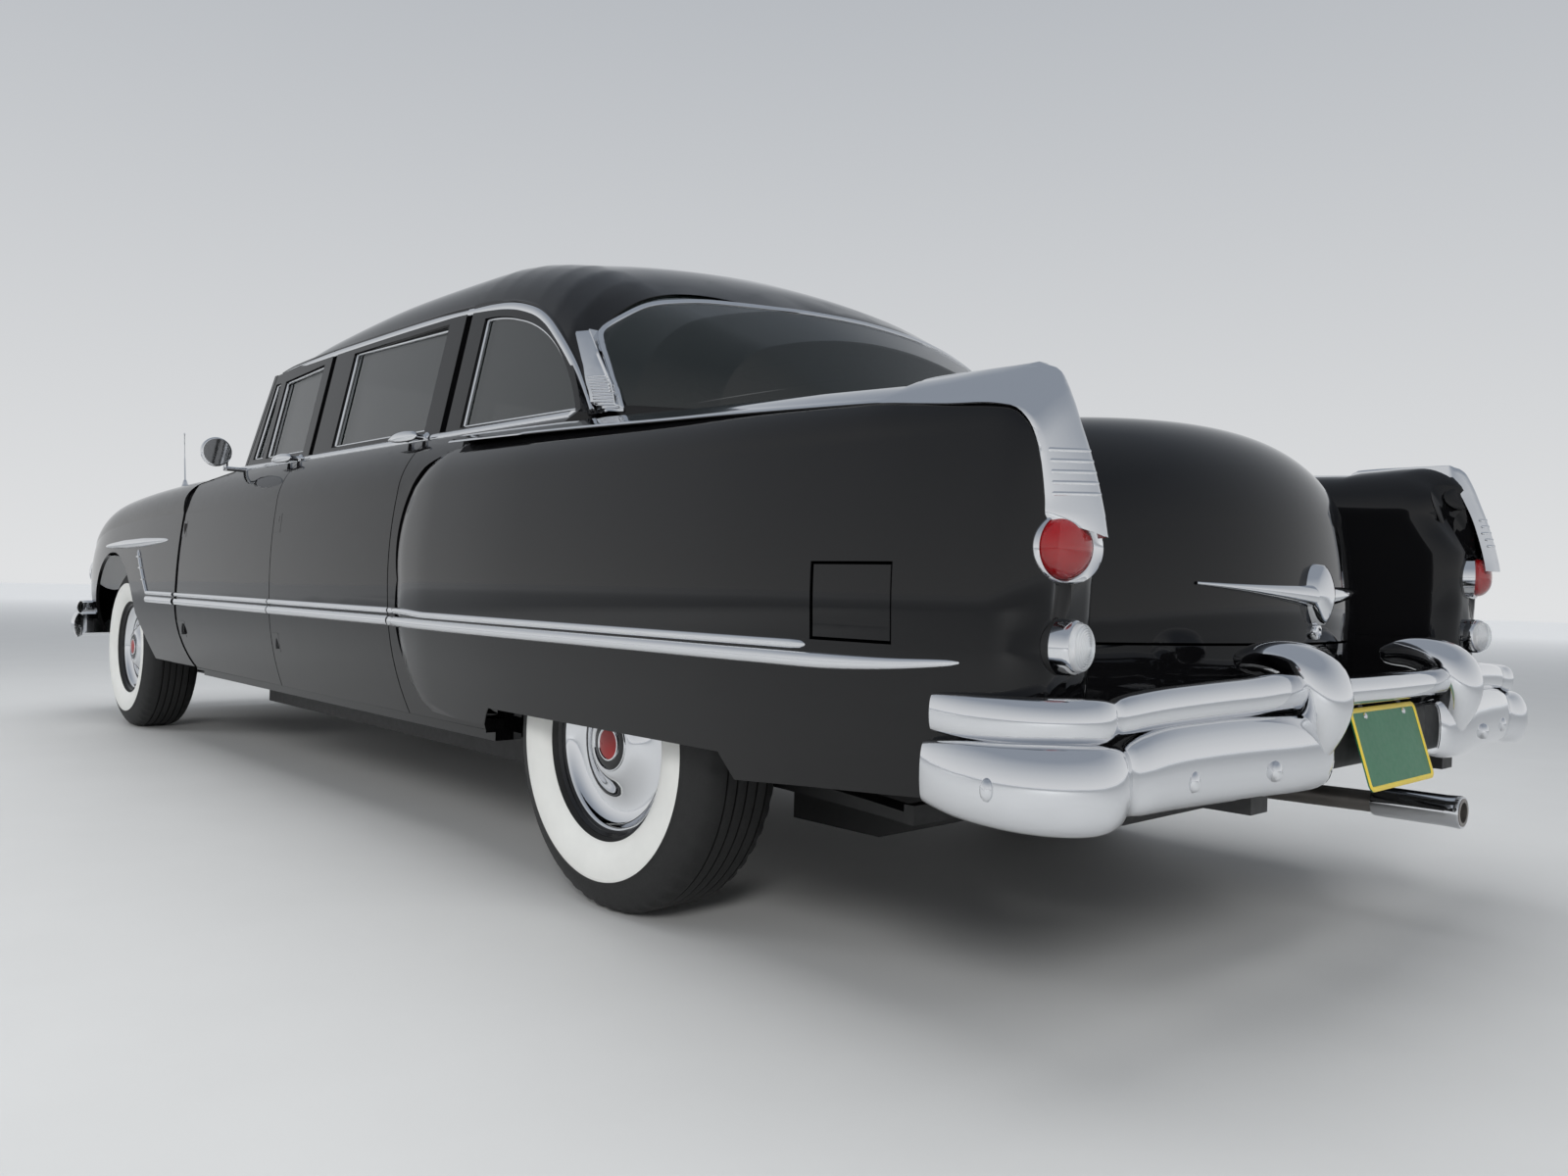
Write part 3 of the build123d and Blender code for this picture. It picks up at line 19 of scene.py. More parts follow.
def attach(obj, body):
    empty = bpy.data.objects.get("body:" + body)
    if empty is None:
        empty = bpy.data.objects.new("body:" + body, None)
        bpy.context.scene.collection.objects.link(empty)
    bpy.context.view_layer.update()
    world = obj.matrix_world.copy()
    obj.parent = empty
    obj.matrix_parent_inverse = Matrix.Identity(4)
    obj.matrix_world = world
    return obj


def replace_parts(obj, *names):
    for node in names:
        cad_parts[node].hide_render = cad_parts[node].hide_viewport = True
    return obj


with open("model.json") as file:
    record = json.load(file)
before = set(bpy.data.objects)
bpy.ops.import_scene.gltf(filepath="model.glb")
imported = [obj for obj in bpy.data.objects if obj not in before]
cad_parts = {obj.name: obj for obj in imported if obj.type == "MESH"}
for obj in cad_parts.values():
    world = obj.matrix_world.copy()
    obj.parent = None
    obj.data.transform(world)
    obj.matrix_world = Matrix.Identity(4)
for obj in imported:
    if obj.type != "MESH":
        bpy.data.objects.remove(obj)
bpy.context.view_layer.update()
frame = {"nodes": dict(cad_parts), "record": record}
nodes = frame["nodes"]
MM = 0.001

# %% [markdown]
# ## Shader maths
# A finish is easier to read as a formula than as a web of nodes. This small class wraps one socket, so
# that `1 - mask * 0.3` adds the Math nodes by itself. Any other node comes from `Web.node`, which takes its
# type, its settings and what goes into its sockets.

# %% Sockets as numbers
class Signal:
    """One output socket of a node tree, which can be added, subtracted, multiplied and divided."""

    def __init__(self, web, socket):
        self.web, self.socket = web, socket

    def maths(self, operation, first, second):
        return self.web.node("ShaderNodeMath", {"operation": operation}, {0: first, 1: second})

    def __add__(self, other):
        return self.maths("ADD", self, other)

    __radd__ = __add__

    def __sub__(self, other):
        return self.maths("SUBTRACT", self, other)

    def __rsub__(self, other):
        return self.maths("SUBTRACT", other, self)

    def __mul__(self, other):
        return self.maths("MULTIPLY", self, other)

    __rmul__ = __mul__

    def __truediv__(self, other):
        return self.maths("DIVIDE", self, other)

    def clipped(self):
        return self.web.node("ShaderNodeClamp", {}, {0: self})


class Web:
    """A node tree under construction."""

    def __init__(self, tree):
        self.tree = tree

    def fill(self, node, inputs):
        for key, value in inputs.items():
            if isinstance(value, Signal):
                self.tree.links.new(value.socket, node.inputs[key])
            else:
                node.inputs[key].default_value = value

    def node(self, kind, settings, inputs, output=0):
        made = self.tree.nodes.new(kind)
        for key, value in settings.items():
            setattr(made, key, value)
        self.fill(made, inputs)
        return Signal(self, made.outputs[output])

    def mix(self, factor, a, b):
        """A colour between two colours, given without their alpha."""
        ends = {6: (*a, 1), 7: (*b, 1)}
        return self.node("ShaderNodeMix", {"data_type": "RGBA"}, {0: factor, **ends}, 2)

    def height_of(self, point):
        return self.node("ShaderNodeSeparateXYZ", {}, {0: point}, 2)


class Finish(Web):
    """A material under construction."""

    def __init__(self, name):
        self.material = bpy.data.materials.new(name)
        self.material.use_nodes = True
        super().__init__(self.material.node_tree)
        self.tree.nodes.clear()
        self.skin = self.tree.nodes.new("ShaderNodeBsdfPrincipled")
        out = self.tree.nodes.new("ShaderNodeOutputMaterial")
        self.tree.links.new(self.skin.outputs[0], out.inputs[0])

    def set(self, **inputs):
        """Fills the Principled sockets, named with _ for a space."""
        self.fill(self.skin, {key.replace("_", " "): value for key, value in inputs.items()})

    def place(self):
        """Where a point of the piece is at rest, in metres."""
        return self.node("ShaderNodeTexCoord", {}, {}, "Object")

    def noise(self, scale, detail=2.0):
        return self.node("ShaderNodeTexNoise", {}, {"Vector": self.place(), "Scale": scale, "Detail": detail})

    def bump(self, height, strength, distance):
        return self.node("ShaderNodeBump", {}, {"Height": height, "Strength": strength,
                                                "Distance": distance})

# %% [markdown]
# ## Finishes
# Black enamel is a dark base under a thick clear coat, so nearly all that is seen is reflection. A faint
# orange peel and a little road dust low on the panels keep it from looking like plastic. Chrome is a
# bright metal whose roughness varies a little. Rubber, cloth and cast parts get their own grain.

# %% Paint and metals
def black_paint():
    look = Finish("black_paint")
    height = look.height_of(look.place())
    dust = ((0.5 - height) * 2.2).clipped() * look.noise(14.0, 4.0)
    peel = look.noise(160.0, 1.0)
    look.set(Base_Color=look.mix(dust * 0.25, (0.0045, 0.0045, 0.005), (0.05, 0.045, 0.038)),
             Roughness=dust * 0.35 + 0.12, Coat_Weight=1.0, Coat_Roughness=0.015, Coat_IOR=1.42,
             Specular_IOR_Level=0.0, Normal=look.bump(peel, 0.015, 0.002))
    return look.material


def chrome(name, tint):
    look = Finish(name)
    haze = look.noise(9.0, 5.0)
    look.set(Base_Color=(*tint, 1), Metallic=1.0, Roughness=haze * 0.07 + 0.02,
             Normal=look.bump(look.noise(70.0, 2.0), 0.02, 0.002))
    return look.material


def plain(name, colour, rough, metal=0.0, grain=60.0, depth=0.15, spread=0.25):
    """A solid finish with grain: its colour and roughness drift a little."""
    look = Finish(name)
    cloud = look.noise(grain * 0.2, 4.0)
    fine = look.noise(grain, 3.0)
    darker = [c * (1 - spread) for c in colour]
    lighter = [min(1, c * (1 + spread)) for c in colour]
    look.set(Base_Color=look.mix(cloud, darker, lighter), Roughness=fine * 0.2 + (rough - 0.1),
             Metallic=metal, Normal=look.bump(fine, depth, 0.002))
    return look.material


PAINT = black_paint()
CHROME = chrome("chrome", (0.78, 0.79, 0.81))
print("paint and chrome ready")

# %% Glass, rubber and cloth
def glass(name, colour, clear, rough):
    """Thin glass: see-through by alpha, so that light goes straight on."""
    look = Finish(name)
    smear = look.noise(6.0, 4.0)
    look.set(Base_Color=(*colour, 1), Roughness=smear * 0.03 + rough, Alpha=1 - clear, Coat_Weight=1.0,
             Coat_Roughness=0.0, IOR=1.5)
    return look.material


GLASS = glass("tinted_glass", (0.006, 0.009, 0.008), 0.32, 0.0)
LAMP_GLASS = glass("lamp_glass", (0.75, 0.78, 0.8), 0.45, 0.05)
RED_LENS = glass("red_lens", (0.30, 0.002, 0.004), 0.2, 0.04)
RUBBER = plain("rubber", (0.012, 0.012, 0.012), 0.62, grain=240.0)
WHITEWALL = plain("whitewall", (0.72, 0.72, 0.69), 0.5, grain=120.0, depth=0.05, spread=0.05)
CHASSIS = plain("chassis_black", (0.02, 0.02, 0.02), 0.55)
IRON = plain("engine_grey", (0.12, 0.13, 0.13), 0.55, 0.6)
STEEL = plain("exhaust_steel", (0.3, 0.28, 0.26), 0.45, 0.9)
BAKELITE = plain("rim_plastic", (0.015, 0.015, 0.015), 0.2, grain=30.0, depth=0.02)
DASH = plain("dash_paint", (0.03, 0.028, 0.025), 0.25, grain=40.0, depth=0.03)
CLOTH = plain("seat_cloth", (0.30, 0.28, 0.24), 0.85, grain=500.0, depth=0.4)
FINISHES = {"paint": PAINT, "chrome": CHROME, "clear_glass": GLASS, "lamp_glass": LAMP_GLASS,
            "red_lens": RED_LENS, "chassis": CHASSIS, "engine": IRON, "exhaust": STEEL,
            "seat_cloth": CLOTH, "dash": DASH, "steering_rim": BAKELITE, "tyre": RUBBER}
for subpart in frame["record"]["subparts"]:
    mesh = nodes[subpart["node"]].data
    mesh.materials.clear()
    mesh.materials.append(FINISHES[subpart["material_slot"]])

# %% [markdown]
# ## Camera, floor and light
# The camera stands where the photographer did, low behind the left rear corner, with a wide lens. The
# light is a large soft box overhead with weaker ones at the sides. A glossy black body shows its form
# only through what it reflects, so the backdrop is pale and even, and the boxes themselves, which would
# show as hard white patches, are left out of reflections.

# %% Camera
def aim(name, place, yaw, pitch, roll):
    """A camera at a place in mm, looking along yaw and pitch in radians, rolled clockwise."""
    ahead = Vector((math.cos(yaw) * math.cos(pitch), math.sin(yaw) * math.cos(pitch), math.sin(pitch)))
    level = Vector((math.sin(yaw), -math.cos(yaw), 0))
    upright = level.cross(ahead)
    across = math.cos(roll) * level + math.sin(roll) * upright
    up = math.cos(roll) * upright - math.sin(roll) * level
    eye = bpy.data.objects.new(name, bpy.data.cameras.new(name))
    bpy.context.scene.collection.objects.link(eye)
    turned = Matrix((across, up, -ahead)).transposed().to_4x4()
    eye.matrix_world = Matrix.Translation(Vector(place) * MM) @ turned
    return eye


camera = aim("camera", (-3752.73, 2287.79, 695.44), -0.745502194, -0.000386309, 0.0255877971)
camera.data.sensor_fit = "HORIZONTAL"
camera.data.sensor_width = 36.0
camera.data.lens = 26.99
camera.data.clip_end = 200.0
bpy.context.scene.camera = camera
print("camera", [round(v, 3) for v in camera.location])

# %% Floor, world and lamps
LAMPS = [("overhead", (0, 0, 6.5), 8.0, 420), ("rear_left", (-7, 6, 4), 1.8, 300),
         ("front_left", (6, 8, 4), 4.0, 200)]
LIT_POINT = Vector((0, 0, 0.6))


def seen(look):
    """1 where the camera looks, straight or through gloss and glass; 0 for light on the object."""
    rays = [look.node("ShaderNodeLightPath", {}, {}, name)
            for name in ("Is Camera Ray", "Is Glossy Ray", "Is Transmission Ray")]
    return (rays[0] + rays[1] + rays[2]).clipped()


def make_sky():
    """Pale at the horizon and greyer overhead."""
    world = bpy.data.worlds.new("studio")
    bpy.context.scene.world = world
    world.use_nodes = True
    sky = Web(world.node_tree)
    height = sky.height_of(sky.node("ShaderNodeTexCoord", {}, {}, "Generated"))
    shade = sky.mix((height * 1.3).clipped(), (0.93, 0.94, 0.95), (0.36, 0.40, 0.46))
    sky.fill(sky.tree.nodes["Background"], {0: shade, 1: 0.8})


def make_floor():
    """A matt floor that keeps the car's shadow and fades into the sky farther off."""
    bpy.ops.mesh.primitive_plane_add(size=120)
    floor = bpy.context.object
    floor.name = "studio_floor"
    look = Finish("pale_floor")
    distance = look.node("ShaderNodeVectorMath", {"operation": "LENGTH"}, {0: look.place()}, 1)
    far = ((distance - 6) / 22).clipped() * seen(look)
    look.set(Base_Color=look.mix(look.noise(3.0, 5.0), (0.56, 0.56, 0.55), (0.6, 0.6, 0.59)),
             Roughness=0.7, Emission_Color=look.mix(far, (0, 0, 0), (0.44, 0.445, 0.45)),
             Emission_Strength=1.0)
    floor.data.materials.append(look.material)


def make_lamps():
    for name, place, size, watts in LAMPS:
        lamp = bpy.data.lights.new(name, "AREA")
        lamp.size, lamp.energy = size, watts
        holder = bpy.data.objects.new(name, lamp)
        bpy.context.scene.collection.objects.link(holder)
        holder.location = place
        holder.rotation_euler = (LIT_POINT - Vector(place)).to_track_quat("-Z", "Y").to_euler()
        holder.visible_glossy = False


bpy.context.scene.view_settings.view_transform = "Standard"
make_sky()
make_floor()
make_lamps()
print("sky, floor and", len(LAMPS), "lamps ready")

# %% [markdown]
# ## Mesh helpers
# Trim on a car is one section drawn along a line, and lamps and wheels are one profile turned about an
# axis. So most pieces below come from `sweep` and `lathe`, and the rest are grids of points. A piece that
# is the same on both sides of the car is mirrored in y.

# %% Pieces from points
def piece(name, points, faces, material, body, slot=None, angle=35):
    """A mesh in mm that rides on a body, shaded smooth up to an angle between faces."""
    mesh = bpy.data.meshes.new(name)
    mesh.from_pydata([tuple(c * MM for c in p) for p in points], [], faces)
    mesh.update()
    mesh.materials.append(material)
    mesh.shade_smooth()
    mesh.set_sharp_from_angle(angle=math.radians(angle))
    uses = Counter(pair for polygon in mesh.polygons for pair in polygon.edge_keys)
    for edge in mesh.edges:
        if uses[edge.key] < 2:  # an open border, which a thickened sheet would else shade as a raised band
            edge.use_edge_sharp = True
    made = bpy.data.objects.new(name, mesh)
    bpy.context.scene.collection.objects.link(made)
    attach(made, body)
    return made


def quads(rows, columns, round_rows=False, round_columns=False):
    """Faces of a grid of points listed row by row."""
    faces = []
    for i in range(rows if round_rows else rows - 1):
        for j in range(columns if round_columns else columns - 1):
            a, b = i * columns, (i + 1) % rows * columns
            k = (j + 1) % columns
            faces.append((a + j, a + k, b + k, b + j))
    return faces


def tube(rows, columns):
    """Faces of a grid that closes on itself across its rows, with a face at each end."""
    last = range((rows - 1) * columns, rows * columns)
    return quads(rows, columns, round_columns=True) + [tuple(range(columns))[::-1], tuple(last)]


def flipped(faces):
    return [face[::-1] for face in faces]


def mirrored(points, faces):
    return [(x, -y, z) for x, y, z in points], flipped(faces)


SIDES = (("left", 1), ("right", -1))


def on_both(name, shape, material, body, slot=None, angle=35):
    """The same piece on each side. A body name may hold {} for the side."""
    made = []
    for side, sign in SIDES:
        points, faces = shape if sign == 1 else mirrored(*shape)
        made.append(piece(f"{name}_{side}", points, faces, material, body.format(side), slot, angle))
    return made


def bright(name, shape, body="body", angle=50):
    """A chrome piece on each side."""
    return on_both(name, shape, CHROME, body, "chrome", angle)


def bright_one(name, shape, body="body", angle=50):
    return piece(name, *shape, CHROME, body, "chrome", angle)


def thicken(made, thickness=0.003):
    """Gives open sheets their metal's thickness, inward, in metres."""
    for sheet in made:
        thick = sheet.modifiers.new("sheet", "SOLIDIFY")
        thick.thickness, thick.offset = thickness, -1


def turns(steps):
    """The cosine and sine of each step of a full turn."""
    angles = [2 * math.pi * i / steps for i in range(steps)]
    return [(math.cos(a), math.sin(a)) for a in angles]


def spaced(a, b, count):
    """Values from a to b in even steps, both ends among them."""
    return [a + (b - a) * i / count for i in range(count + 1)]


def bent(value, power):
    """A value raised to a power that keeps its sign."""
    return math.copysign(abs(value) ** power, value)


def lathe(profile, centre, axis, steps=72):
    """A profile of (along, radius) in mm turned about an axis through a centre."""
    along = Vector(axis)
    across = along.orthogonal().normalized()
    third = along.cross(across)
    points = []
    for c, s in turns(steps):
        out = across * c + third * s
        points += [tuple(Vector(centre) + along * a + out * r) for a, r in profile]
    return points, quads(steps, len(profile), round_rows=True)


def arc(a, m, b, count):
    """Points from a to b on the circle through a, m and b, in two dimensions."""
    (ax, ay), (bx, by), (cx, cy) = a, m, b
    d = 2 * (ax * (by - cy) + bx * (cy - ay) + cx * (ay - by))
    if abs(d) < 1e-6:
        return [(ax + (cx - ax) * i / count, ay + (cy - ay) * i / count) for i in range(count + 1)]
    a2, b2, c2 = ax * ax + ay * ay, bx * bx + by * by, cx * cx + cy * cy
    ox = (a2 * (by - cy) + b2 * (cy - ay) + c2 * (ay - by)) / d
    oy = (a2 * (cx - bx) + b2 * (ax - cx) + c2 * (bx - ax)) / d
    radius = math.hypot(ax - ox, ay - oy)
    start, mid, end = (math.atan2(y - oy, x - ox) for x, y in (a, m, b))
    span = (end - start) % (2 * math.pi)
    if (mid - start) % (2 * math.pi) > span:
        span -= 2 * math.pi
    angles = [start + span * i / count for i in range(count + 1)]
    return [(ox + radius * math.cos(a), oy + radius * math.sin(a)) for a in angles]


def trace(start, *segments, step=12.0):
    """Points along lines and three-point arcs, about a step apart."""
    points = [tuple(start)]
    for segment in segments:
        end = tuple(segment[-2:])
        if len(segment) == 4:
            length = math.dist(points[-1], segment[:2]) + math.dist(segment[:2], end)
            points += arc(points[-1], segment[:2], end, max(3, round(length / step)))[1:]
        else:
            count = max(1, round(math.dist(points[-1], end) / step))
            points += list(zip(*(spaced(p, q, count)[1:] for p, q in zip(points[-1], end))))
    return points


def smooth(points, step=12.0):
    """A curve through points of any dimension, as evenly spaced points."""
    padded = [points[0], *points, points[-1]]
    result = [tuple(points[0])]
    for p0, p1, p2, p3 in zip(padded, padded[1:], padded[2:], padded[3:]):
        count = max(1, round(math.dist(p1, p2) / step))
        for i in range(1, count + 1):
            t = i / count
            result.append(tuple(
                0.5 * (2 * b + (c - a) * t + (2 * a - 5 * b + 4 * c - d) * t * t
                       + (3 * b - a - 3 * c + d) * t ** 3)
                for a, b, c, d in zip(p0, p1, p2, p3)))
    return result


def sweep(path, outward, section, closed=False, scale=None):
    """A closed section of (across, out) drawn along a path, with the outward direction at each point."""
    path = [Vector(p) for p in path]
    count = len(path)
    points = []
    for i, here in enumerate(path):
        after = path[(i + 1) % count] if closed or i < count - 1 else here
        before = path[i - 1] if closed or i > 0 else here
        ahead = (after - before).normalized()
        out = Vector(outward[i])
        out = (out - ahead * out.dot(ahead)).normalized()
        across = out.cross(ahead)
        size = scale(i / (count - 1)) if scale else 1.0
        points += [tuple(here + across * (a * size) + out * (o * size)) for a, o in section]
    if closed:
        return points, quads(count, len(section), round_rows=True, round_columns=True)
    return points, tube(count, len(section))


def half_round(width, height, count=8, foot=1.0):
    """A bead's section: a low arch on a thin foot."""
    arch = [(math.cos(math.pi * i / count) * width / 2, height * math.sin(math.pi * i / count))
            for i in range(count + 1)]
    return [(width / 2, -foot), *arch, (-width / 2, -foot)]

# %% [markdown]
# ## Wheels and tyres
# A tyre is one profile turned about the axle: side wall, shoulder, five tread ribs. The wide white band
# stands a little proud of the black wall, so it is a ring of faces with its own material. The cover is
# polished steel, dished round a raised hub, with a black ring and a plain red centre.

# %% Tyre
AXLE_Z = 355.0
WHEELS = [("front", 2110.0, 765.0), ("rear", -1675.0, 782.0)]
# each wheel's name, its middle, and the way out along its axle
CORNERS = [(f"{end}_{side}", (x, y * sign, AXLE_Z), (0, sign, 0))
           for end, x, y in WHEELS for side, sign in SIDES]
TYRE_STEPS = 144


def tyre_profile():
    """Points of (outboard, radius) from the inner bead to the outer one."""
    wall = smooth([(-76, 192), (-100, 216), (-112, 250), (-111, 285), (-101, 318), (-91, 336)], 9)
    tread = [(-84, 345), (-74, 350.5), (-64, 352)]
    for rib in (-60, -34, -8, 18, 44):
        tread += [(rib, 353.5), (rib + 0.8, 346), (rib + 4.6, 346), (rib + 5.4, 354.6), (rib + 14, 355)]
    tread += [(70, 351.5), (78, 349), (84, 345)]
    band = [(91, 336), (101, 318), (107.4, 300), (110.6, 287), (112, 285.5)]
    white = smooth([(112.4, 285), (113.4, 262), (110.5, 240), (104, 219), (95, 204)], 7)
    return wall + tread + band + white + [(93.5, 203), (84, 196), (76, 191)], len(wall + tread + band)


def make_tyres():
    """Each third step of the tread's edge is drawn in a little, which leaves shoulder blocks."""
    profile, first_white = tyre_profile()
    columns = len(profile)
    shoulder = [(j, 1 - 5.0 / radius) for j, (out, radius) in enumerate(profile)
                if 60 < abs(out) < 92 and radius > 340]
    for corner, (x, y, z), axis in CORNERS:
        points, faces = lathe(profile, (x, y, z), axis, TYRE_STEPS)
        for i in range(0, TYRE_STEPS, 3):
            for j, inward in shoulder:
                px, py, pz = points[i * columns + j]
                points[i * columns + j] = (x + (px - x) * inward, py, z + (pz - z) * inward)
        tyre = piece(f"tyre_{corner}_tread", points, faces, RUBBER, f"wheel_{corner}", "tyre", 50)
        tyre.data.materials.append(WHITEWALL)
        for polygon in tyre.data.polygons:
            low = min(v % columns for v in polygon.vertices)
            if first_white <= low < columns - 4:
                polygon.material_index = 1
        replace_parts(tyre, f"tyre_{corner}")
    print("tyres", len(profile), "points round the section")


make_tyres()

# %% Wheel covers
HUB_RED = plain("hub_red", (0.32, 0.012, 0.012), 0.3, grain=40.0, depth=0.02)
RIM_BLACK = plain("rim_black", (0.008, 0.008, 0.009), 0.22, grain=60.0, depth=0.03)


def make_wheel_covers():
    """Outboard profile, counted from the tyre's middle, replaces the plain CAD wheel."""
    rim = [(-78, 190), (-78, 176), (-62, 170), (30, 170), (44, 172), (60, 176), (72, 186), (80, 198),
           (84, 199), (85, 195), (79, 189), (-70, 189)]
    cover = smooth([(64, 187.0), (70.5, 186.5), (72, 183), (70, 179), (62, 173), (55, 164), (50, 150),
                    (48.5, 134), (51, 117), (58, 101), (67, 87), (75.5, 75), (79.5, 66), (80, 59)], 5)
    hub = smooth([(80, 58.8), (82.5, 57.5), (82.2, 55.6)], 1) + [(79.5, 54)]
    ring = [(79.5, 54), (81, 52), (82, 42), (82, 37)]
    inner = [(82, 37), (85, 36), (85.4, 33), (83.5, 31.5)]
    centre = smooth([(83.5, 31.5), (85.5, 22), (87, 11), (87.4, 0.02)], 3)
    disc = [(20, 20), (28, 168), (34, 168), (26, 20)]
    parts = [("rim", rim, 96, RIM_BLACK, 40), ("wheel_disc", disc, 64, RIM_BLACK, 35),
             ("hub_ring", ring, 96, RIM_BLACK, 35), ("hub_centre", centre, 64, HUB_RED, 35),
             ("cover", cover, 128, CHROME, 35), ("hub_bead", hub, 128, CHROME, 35),
             ("hub_crown", inner, 128, CHROME, 35)]
    for corner, place, axis in CORNERS:
        made = [piece(f"{name}_{corner}", *lathe(profile, place, axis, steps), material, f"wheel_{corner}",
                      "chrome", angle) for name, profile, steps, material, angle in parts]
        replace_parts(made[0], f"wheel_{corner}")
    print("wheel covers made")


make_wheel_covers()

# %% [markdown]
# ## Lamps
# The tail lamps are chrome bullets sunk in the fender's tail, each with a domed red lens whose inside is
# faceted. The reversing lamps below them have a black gasket, a short chrome barrel and a clear lens of
# concentric rings, which the profile itself carries.

# %% Tail and reversing lamps
TAIL_LAMP, TAIL_AXIS = (-2800.0, 871.0, 762.0), (-0.971, 0.24, 0.0)
REVERSING_LAMP, REVERSING_AXIS = (-2816.0, 853.0, 621.0), (-0.986, -0.168, 0.0)
GASKET = plain("gasket", (0.01, 0.01, 0.01), 0.6, grain=200.0)
REFLECTOR = chrome("reflector", (0.75, 0.7, 0.68))


def make_tail_lamps():
    """A chrome cuff, wide on its inner side where the fin's cap runs into it, and a domed lens."""
    centre, along = Vector(TAIL_LAMP), Vector(TAIL_AXIS)
    across = Vector((0, 0, 1)).cross(along).normalized()
    profile = [(-78, 1.0), (-60, 1.0), (-40, 1.0), (-22, 1.0), (-9, 1.0), (-3, 0.985), (0.5, 0.95),
               (1.5, 0.925), (0.5, 0.9), (-1.5, 0.89)]
    points, steps = [], 120
    for c, s in turns(steps):
        out = across * c + Vector((0, 0, s))
        inward = max(0.0, -out.y)
        for a, share in profile:
            lip = (share - 0.89) / 0.11  # 1 on the cuff's wall, 0 at the inner end of its lip
            wide = 51.5 + 23 * inward ** 1.6 * lip
            reach = a - 14 * inward ** 2 * (1 - lip) + 10 * inward ** 2 * (share == 1.0)
            points.append(tuple(centre + along * reach + out * (wide * share)))
    cuff = bright("tail_lamp_cuff", (points, quads(steps, len(profile), round_rows=True)), angle=60)
    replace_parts(cuff[0], "tail_lamp_housings")
    dish = [(-2, 46), (-10, 34), (-16, 0.02)]
    lens = smooth([(-3, 45.6), (3, 45.2), (12, 42.5), (20, 36), (27, 26), (31, 13), (32, 0.02)], 3)
    on_both("tail_lamp_dish", lathe(dish, TAIL_LAMP, TAIL_AXIS, 64), REFLECTOR, "body", "chrome")
    domes = on_both("tail_lamp_dome", lathe(lens, TAIL_LAMP, TAIL_AXIS, 96), RED_LENS, "body", "red_lens")
    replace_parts(domes[0], "tail_lamp_lenses")


def make_reversing_lamps():
    gasket = [(-60, 43.5), (-32, 43.5), (-29, 42), (-29, 39)]
    barrel = smooth([(-30, 40.4), (-18, 40.4), (-6, 39.8), (-1, 38), (0.5, 36.5), (-1, 35.4)], 3)
    lens = [(-1, 35.6)]
    for i in range(60):
        radius = 35.4 * (1 - (i + 1) / 60)
        dome = 17 * math.sqrt(max(0.0, 1 - (radius / 36) ** 2))
        lens.append((dome + 1.6 * abs(math.sin(i * math.pi / 6)), max(radius, 0.02)))
    bowl = [(-1, 35), (-14, 24), (-18, 0.02)]
    parts = [("barrel", barrel, 96, CHROME, "chrome", 35), ("gasket", gasket, 64, GASKET, "chassis", 35),
             ("bowl", bowl, 64, REFLECTOR, "chrome", 35), ("lens", lens, 96, LAMP_GLASS, "lamp_glass", 60)]
    made = [on_both(f"reversing_{name}", lathe(profile, REVERSING_LAMP, REVERSING_AXIS, steps), material,
                    "body", slot, angle) for name, profile, steps, material, slot, angle in parts]
    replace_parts(made[0][0], "reversing_lamps")


make_tail_lamps()
make_reversing_lamps()
print("rear lamps made")

# %% [markdown]
# ## Bright trim that lies on the body
# Strips have to follow panels that bend both ways, so their lines are given from the side, as x and z,
# and the height of the panel under each point comes from a ray sent on to the CAD solids. A strip that
# crosses a shut line is cut there, and each length rides on its own door.

# %% Rays on to the car
def search_tree(*names):
    points, faces = [], []
    for name in names:
        mesh, base = nodes[name].data, len(points)
        points += [v.co.copy() for v in mesh.vertices]
        faces += [[base + v for v in polygon.vertices] for polygon in mesh.polygons]
    return BVHTree.FromPolygons(points, faces)


SKIN = search_tree("body_side_left", "rear_fender_left", "door_front_left", "door_rear_left",
                   "front_fender_left", "cowl", "roof", "fuel_door")
TAIL = search_tree("boot_lid", "rear_deck")


def strike(tree, start, heading):
    """Where a ray from start, in mm, first meets the car, and which way the skin faces there."""
    hit, normal, _, _ = tree.ray_cast(Vector(start) * MM, Vector(heading), 4.0)
    if hit is None:
        raise ValueError(f"no skin under {start}")
    if normal.dot(Vector(heading)) > 0:
        normal = -normal
    return hit / MM, normal


def on_side(x, z):
    return strike(SKIN, (x, 1600, z), (0, -1, 0))


def side_strip(name, line, section, body, scale=None, step=25.0):
    """A strip on the left side along a line of (x, z), and its mirror image."""
    struck = [on_side(x, z) for x, z in smooth(line, step)]
    bright(name, sweep(*zip(*struck), section, scale=scale), body)


def pointed(share_front, share_back):
    """A scale that draws a strip's ends to points over a share of its length."""
    def scale(t):
        front = min(1.0, t / share_front) if share_front else 1.0
        back = min(1.0, (1 - t) / share_back) if share_back else 1.0
        return max(0.06, math.sqrt(front) * math.sqrt(back))
    return scale


print("search trees ready")

# %% Side spears
SPEAR_SPANS = [("fender", 1528, 1163, "body", 6), ("front_door", 1145, 132, "door_front_{}", 14),
               ("rear_door", 124, -762, "door_rear_{}", 14)]
UPPER_END, LOWER_END = -2394, -2700


